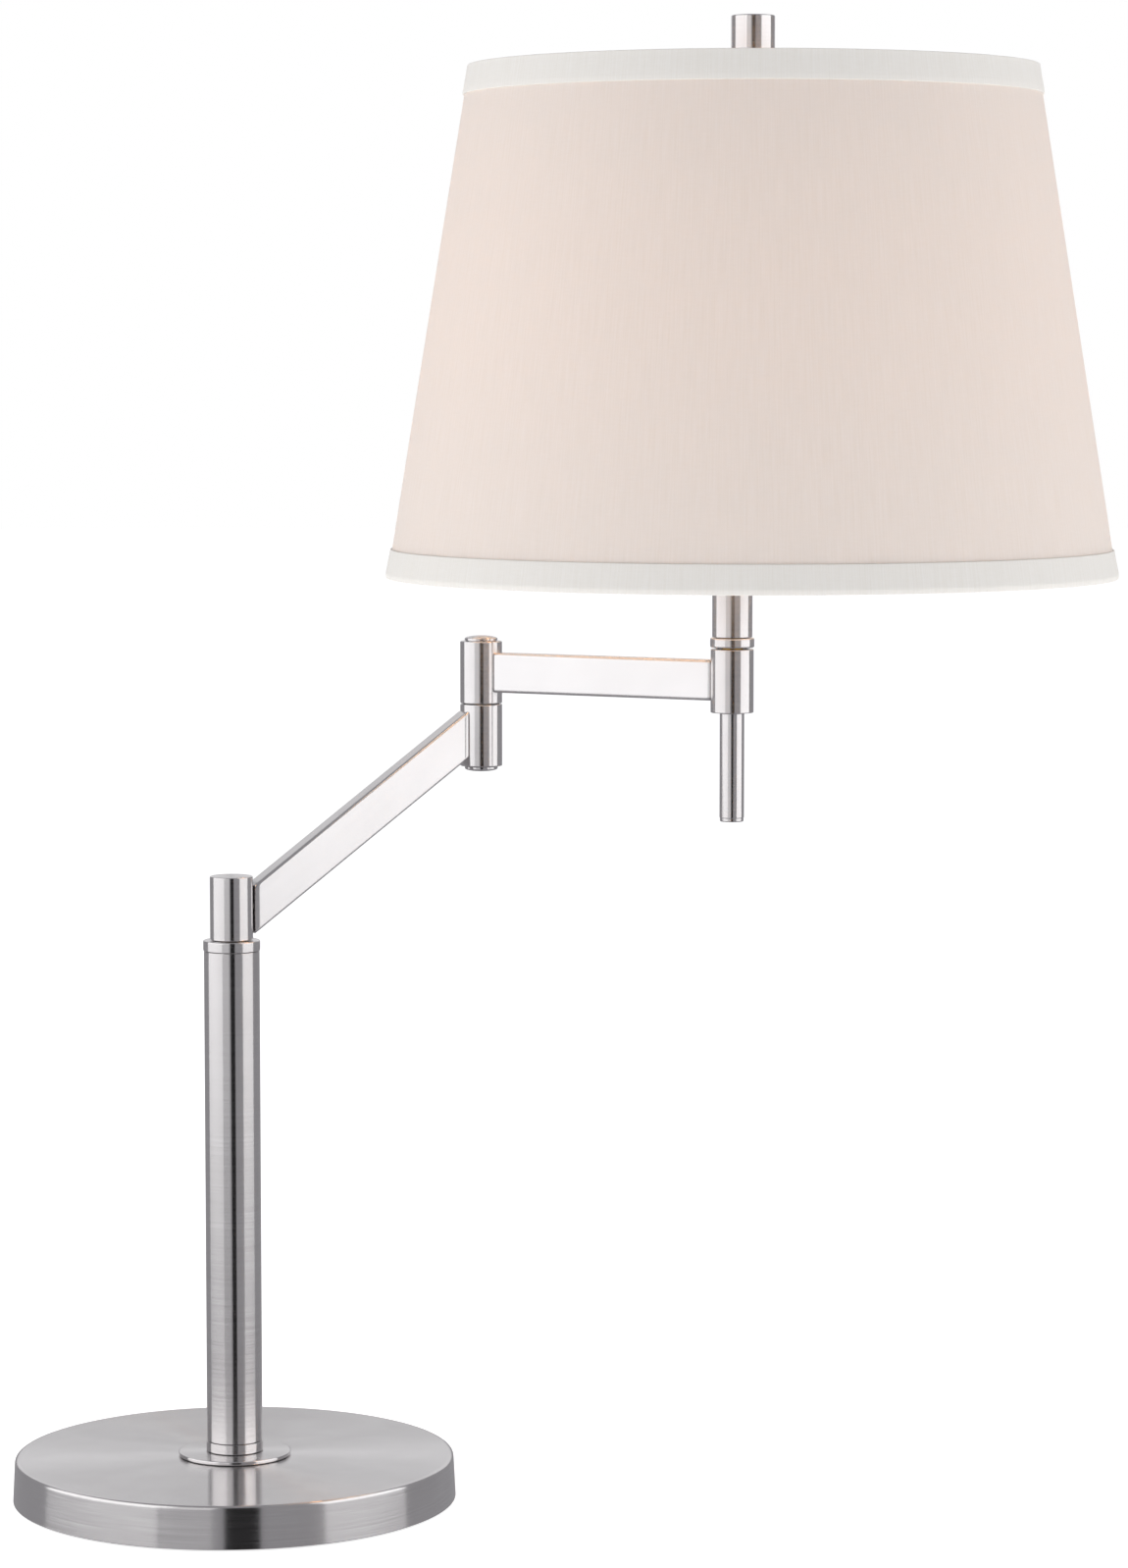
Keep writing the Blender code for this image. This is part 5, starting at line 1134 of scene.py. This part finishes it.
def rim_tape(name, node, edge, inward, seam):
    """A tape folded over a rim: down the outside, over the edge and a little way down the inside.

    edge is the rim's height and inward is 1 if the shade lies above it and -1 if it lies below.
    """
    low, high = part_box(node)
    tall = high.z - low.z
    free = edge + inward * tall
    hem = free - inward * HEM
    turned_edge = edge + inward * TAPE_IN
    over, under = edge - inward * TAPE_FOLD, edge - inward * (TAPE_FOLD - FOLD_WALL)
    corners = [
        (cone(free) + GLUE, free),
        (cone(free) + GAP + 0.75 * TAPE, free),
        (cone(hem) + GAP + 0.9 * TAPE, hem),
        (cone(edge) + GAP + TAPE, edge + inward * TAPE_SHOULDER),
        (cone(edge) + GAP + 0.6 * TAPE, over),
        (cone(edge) - SHADE_WALL - LINING_GAP - TURNED_IN, over),
        (cone(turned_edge) - SHADE_WALL - LINING_GAP - TURNED_IN, turned_edge),
        (cone(turned_edge) - SHADE_WALL - LINING_GAP, turned_edge),
        (cone(edge) - SHADE_WALL - LINING_GAP, under),
        (cone(edge) + GLUE, under),
    ]
    rounds = np.array([0.05, 0.3, 0.3, 0.8, 0.3, 0.2, 0.1, 0.1, 0.05, 0.05]) * MM
    profile = rounded(corners, rounds, steps=5, closed=True)
    outer_rows = (profile[:, 0] > cone(profile[:, 1]) + 0.25 * MM)[:, None]

    def tape_lap(h, turn):
        wave = TAPE_RIPPLE * np.sin(23 * turn + 3 * np.sin(5 * turn))
        return outer_rows * (lap(turn, seam, TAPE_LAP, LAP_RISE) + wave)

    made = turned(name, profile, shade_axis, SHELL_FACETS * 2, swell=tape_lap)
    return made_of(made, tape, "head", "shade_trim", node)


rim_tape("tape_at_top", "shade_top_trim", top_z, inward=-1, seam=math.radians(10))
rim_tape("tape_at_foot", "shade_bottom_trim", bottom_z, inward=1, seam=math.radians(180 + 15))

# %% Rings, spider and hub
SHADE_WIRE = 1.6 * MM
circle = np.linspace(0, TAU, 17)


def wire_ring(radius, height):
    """The section of a round wire ring: a circle of the wire's radius about (radius, height)."""
    return np.stack([radius + SHADE_WIRE * np.cos(circle), height + SHADE_WIRE * np.sin(circle)], 1)


RING_FACETS = 192
ring_outer, foot_ring_low, foot_ring_high = measure("shade_bottom_ring")
foot_section = wire_ring(ring_outer - SHADE_WIRE, (foot_ring_low + foot_ring_high) / 2)
foot_ring = turned("foot_ring", foot_section, shade_axis, facets=RING_FACETS)
made_of(foot_ring, zinc, "head", "zinc_steel", "shade_bottom_ring")

HUB_RADIUS = 13.1 * MM
HUB_HOLE = 3.7 * MM
HUB_EDGE = 0.4 * MM
SPOKE_WIRE = 0.9 * SHADE_WIRE
SPOKE_WELD = 2.2 * MM  # how far a spoke's end lies over the hub
SPOKE_BEND = 0.86  # the share of a spoke that is level
SPOKES = 3
spider_outer, _, spider_top = measure("shade_spider")
spider_radius = spider_outer - SHADE_WIRE
ring_height = spider_top - SHADE_WIRE
top_ring = turned("spider_ring", wire_ring(spider_radius, ring_height), shade_axis, facets=RING_FACETS)
hub_low = stud_seat + GAP
hub_top = hub_low + HUB_SHEET
hub_corners = [(HUB_HOLE, hub_low), (HUB_RADIUS, hub_low), (HUB_RADIUS, hub_top), (HUB_HOLE, hub_top)]
hub = turned("spider_hub", rounded(hub_corners, HUB_EDGE, closed=True), shade_axis, facets=64)
hub_middle = hub_low + HUB_SHEET / 2
share = np.linspace(0, 1, 30)
spoke_reach = (HUB_RADIUS - SPOKE_WELD) + (spider_radius - HUB_RADIUS + SPOKE_WELD) * share
bend = np.clip((share - SPOKE_BEND) / (1 - SPOKE_BEND), 0, 1)
spoke_height = hub_middle + (ring_height - hub_middle) * bend**2 * (3 - 2 * bend)
spider_parts = [top_ring, hub]
for number in range(SPOKES):
    turn = TAU * (number + 0.25) / SPOKES
    flat_path = shade_axis + spoke_reach[:, None] * np.array([math.cos(turn), math.sin(turn)])
    spoke_path = np.hstack([flat_path, spoke_height[:, None]])
    spider_parts.append(swept(f"spoke_{number}", spoke_path, SPOKE_WIRE, sides=14, beside=UP))

# %% [markdown]
# The ring, the hub and the three spokes are welded together, so they're one piece. Their meshes are put
# together in one, and each stays closed in itself.

# %% One welded spider


def welded(name, parts):
    """Several closed meshes as one object."""
    bm = bmesh.new()
    for part in parts:
        bm.from_mesh(part.data)
    mesh = bpy.data.meshes.new(name)
    bm.to_mesh(mesh)
    bm.free()
    for part in parts:
        old = part.data
        bpy.data.objects.remove(part)
        bpy.data.meshes.remove(old)
    made = bpy.data.objects.new(name, mesh)
    bpy.context.scene.collection.objects.link(made)
    mesh.shade_smooth()
    mesh.set_sharp_from_angle(angle=SHARP)
    return made


spider = welded("spider", spider_parts)
made_of(spider, zinc, "head", "zinc_steel", "shade_spider")

# %% [markdown]
# ## The finial
#
# A plain turned cylinder screws down on the stud and clamps the spider. Its top edge is broken, and it has a
# shallow turned face.

# %% Finial
FINIAL_BORE = 3.4 * MM
FINIAL_BORE_DEPTH = 17 * MM
finial_radius, finial_low, finial_high = measure("finial")
bore_top = finial_low + FINIAL_BORE_DEPTH
finial_corners = [(0, finial_high), (finial_radius, finial_high), (finial_radius, finial_low)]
finial_corners += [(FINIAL_BORE, finial_low), (FINIAL_BORE, bore_top), (0, bore_top)]
finial_profile = rounded(finial_corners, np.array([0, 6, 5, 2, 4, 0]) * 0.1 * MM)
finial = turned("finial_cap", finial_profile, shade_axis, facets=96)
made_of(finial, nickel_round, "head", "brushed_nickel", "finial")

# %% [markdown]
# ## The studio
#
# Polished metal has hardly any colour of its own: it shows the room. This room is a plain one. The air is an
# even pale grey, a large soft box stands at each side and one behind, a small one fills in from the left of
# the front, and a black card hangs at the front. The metal mirrors those lights and that card, and the card
# is what draws the dark stripe down each round piece. A white dome and a pale floor fill the view. Both give
# off a little light of their own, so that the ground stays white, and mirrors don't see either of them.

# %% Stage materials and scenery


def glowing(name, strength):
    """An even white surface that gives off light but isn't a lamp."""
    material, tree = blank(name)
    light = add(tree, "Emission", {"Color": linear("#ffffff"), "Strength": strength})
    add(tree, "OutputMaterial", {"Surface": light})
    material.cycles.emission_sampling = "NONE"
    return material


# %% Dome and floor
MIDDLE_X, MIDDLE_Z = 0.15, 0.35  # about the middle of the lamp, which the lights face
DOME_RADIUS = 14
FLOOR_HALF = 12
DOME_LIGHT, FLOOR_LIGHT = 1.0, 0.8
from_top = np.linspace(0, math.pi, 40)
dome_line = DOME_RADIUS * np.stack([np.sin(from_top), np.cos(from_top)], 1)
dome_line[[0, -1], 0] = 0
backdrop = turned("white_dome", dome_line, (MIDDLE_X, 0.0), facets=64)
backdrop.data.materials.append(glowing("white_dome_light", DOME_LIGHT))
backdrop.visible_glossy = backdrop.visible_diffuse = backdrop.visible_transmission = False
backdrop.visible_shadow = False

floor_material, floor_tree = blank("pale_floor")
floor_matt = add(floor_tree, "BsdfDiffuse", {"Color": linear("#f4f4f4")})
floor_light = add(floor_tree, "Emission", {"Color": linear("#ffffff"), "Strength": FLOOR_LIGHT})
floor_sum = add(floor_tree, "AddShader", {0: floor_matt, 1: floor_light})
add(floor_tree, "OutputMaterial", {"Surface": floor_sum})
floor_material.cycles.emission_sampling = "NONE"
span = np.linspace(-FLOOR_HALF, FLOOR_HALF, 25)
floor_points = np.stack([*np.meshgrid(span, span), np.zeros((25, 25))], -1)
floor = surface("floor", floor_points, floor_points[..., :2])
floor.data.materials.append(floor_material)
floor.visible_glossy = False

# %% The black card
CARD_AZIMUTH = math.radians(7.5)  # to the right of the front
CARD_DISTANCE = 2.4
CARD_WIDTH, CARD_LOW, CARD_HIGH = 0.76, -1.5, 1.7  # it hangs past the table's edge
card_along = np.array([math.cos(CARD_AZIMUTH), math.sin(CARD_AZIMUTH)])
card_middle = CARD_DISTANCE * np.array([math.sin(CARD_AZIMUTH), -math.cos(CARD_AZIMUTH)])
card_columns, card_rows = CARD_WIDTH * np.linspace(-0.5, 0.5, 3), np.linspace(CARD_LOW, CARD_HIGH, 3)
across, upward = np.meshgrid(card_columns, card_rows)
card_points = np.concatenate([card_middle + across[..., None] * card_along, upward[..., None]], -1)
card = surface("black_card", card_points, np.stack([across, upward], -1))
card_material, card_tree = blank("black_card_paper")
card_paper = add(card_tree, "BsdfDiffuse", {"Color": linear("#0a0a0a")})
add(card_tree, "OutputMaterial", {"Surface": card_paper})
card.data.materials.append(card_material)
card.visible_camera = card.visible_shadow = False

# %% Air and lights
AIR_LIGHT = 0.31
world = bpy.data.worlds.new("studio_air")
world.use_nodes = True
world.node_tree.nodes["Background"].inputs["Color"].default_value = linear("#fbfaff")
world.node_tree.nodes["Background"].inputs["Strength"].default_value = AIR_LIGHT
bpy.context.scene.world = world


def soft_box(name, azimuth, distance, height, width, tall, watts):
    """A soft white area light that stands at an azimuth from the front, in degrees, and faces the lamp."""
    light = bpy.data.lights.new(name, "AREA")
    light.shape, light.size, light.size_y = "RECTANGLE", width, tall
    light.energy = watts
    lamp = bpy.data.objects.new(name, light)
    turn = math.radians(azimuth)
    lamp.location = (MIDDLE_X + distance * math.sin(turn), -distance * math.cos(turn), height)
    lamp.rotation_euler = (math.radians(90) + math.atan2(MIDDLE_Z - height, distance), 0, turn)
    lamp.visible_camera = False
    bpy.context.scene.collection.objects.link(lamp)


soft_box("soft_box_left", azimuth=-72, distance=1.7, height=0.75, width=2.5, tall=1.8, watts=15)
soft_box("fill_box_left", azimuth=-24, distance=1.9, height=0.75, width=0.9, tall=1.6, watts=2.4)
soft_box("soft_box_right", azimuth=74, distance=1.7, height=0.75, width=1.9, tall=1.8, watts=12)
soft_box("soft_box_back", azimuth=180, distance=2.0, height=1.2, width=2.6, tall=1.6, watts=6)
print("four soft boxes, a black card, a dome and a floor")

# %% [markdown]
# ## The camera
#
# A long lens from a little over two metres keeps the lamp nearly free of perspective. It stands just below
# the shade's middle and looks down by about five degrees, so the table shows a narrow ellipse at the base.

# %% Camera
LENS, SENSOR = 110, 36  # millimetres
CAMERA_PLACE = (0.1515, -2.168, 0.526)
CAMERA_TILT = math.radians(90 - 5.17)
camera_data = bpy.data.cameras.new("camera")
camera_data.lens = LENS
camera_data.sensor_width = SENSOR
camera = bpy.data.objects.new("camera", camera_data)
camera.location = CAMERA_PLACE
camera.rotation_euler = (CAMERA_TILT, 0, 0)
bpy.context.scene.collection.objects.link(camera)
bpy.context.scene.camera = camera
bpy.context.scene.view_settings.view_transform = "Standard"
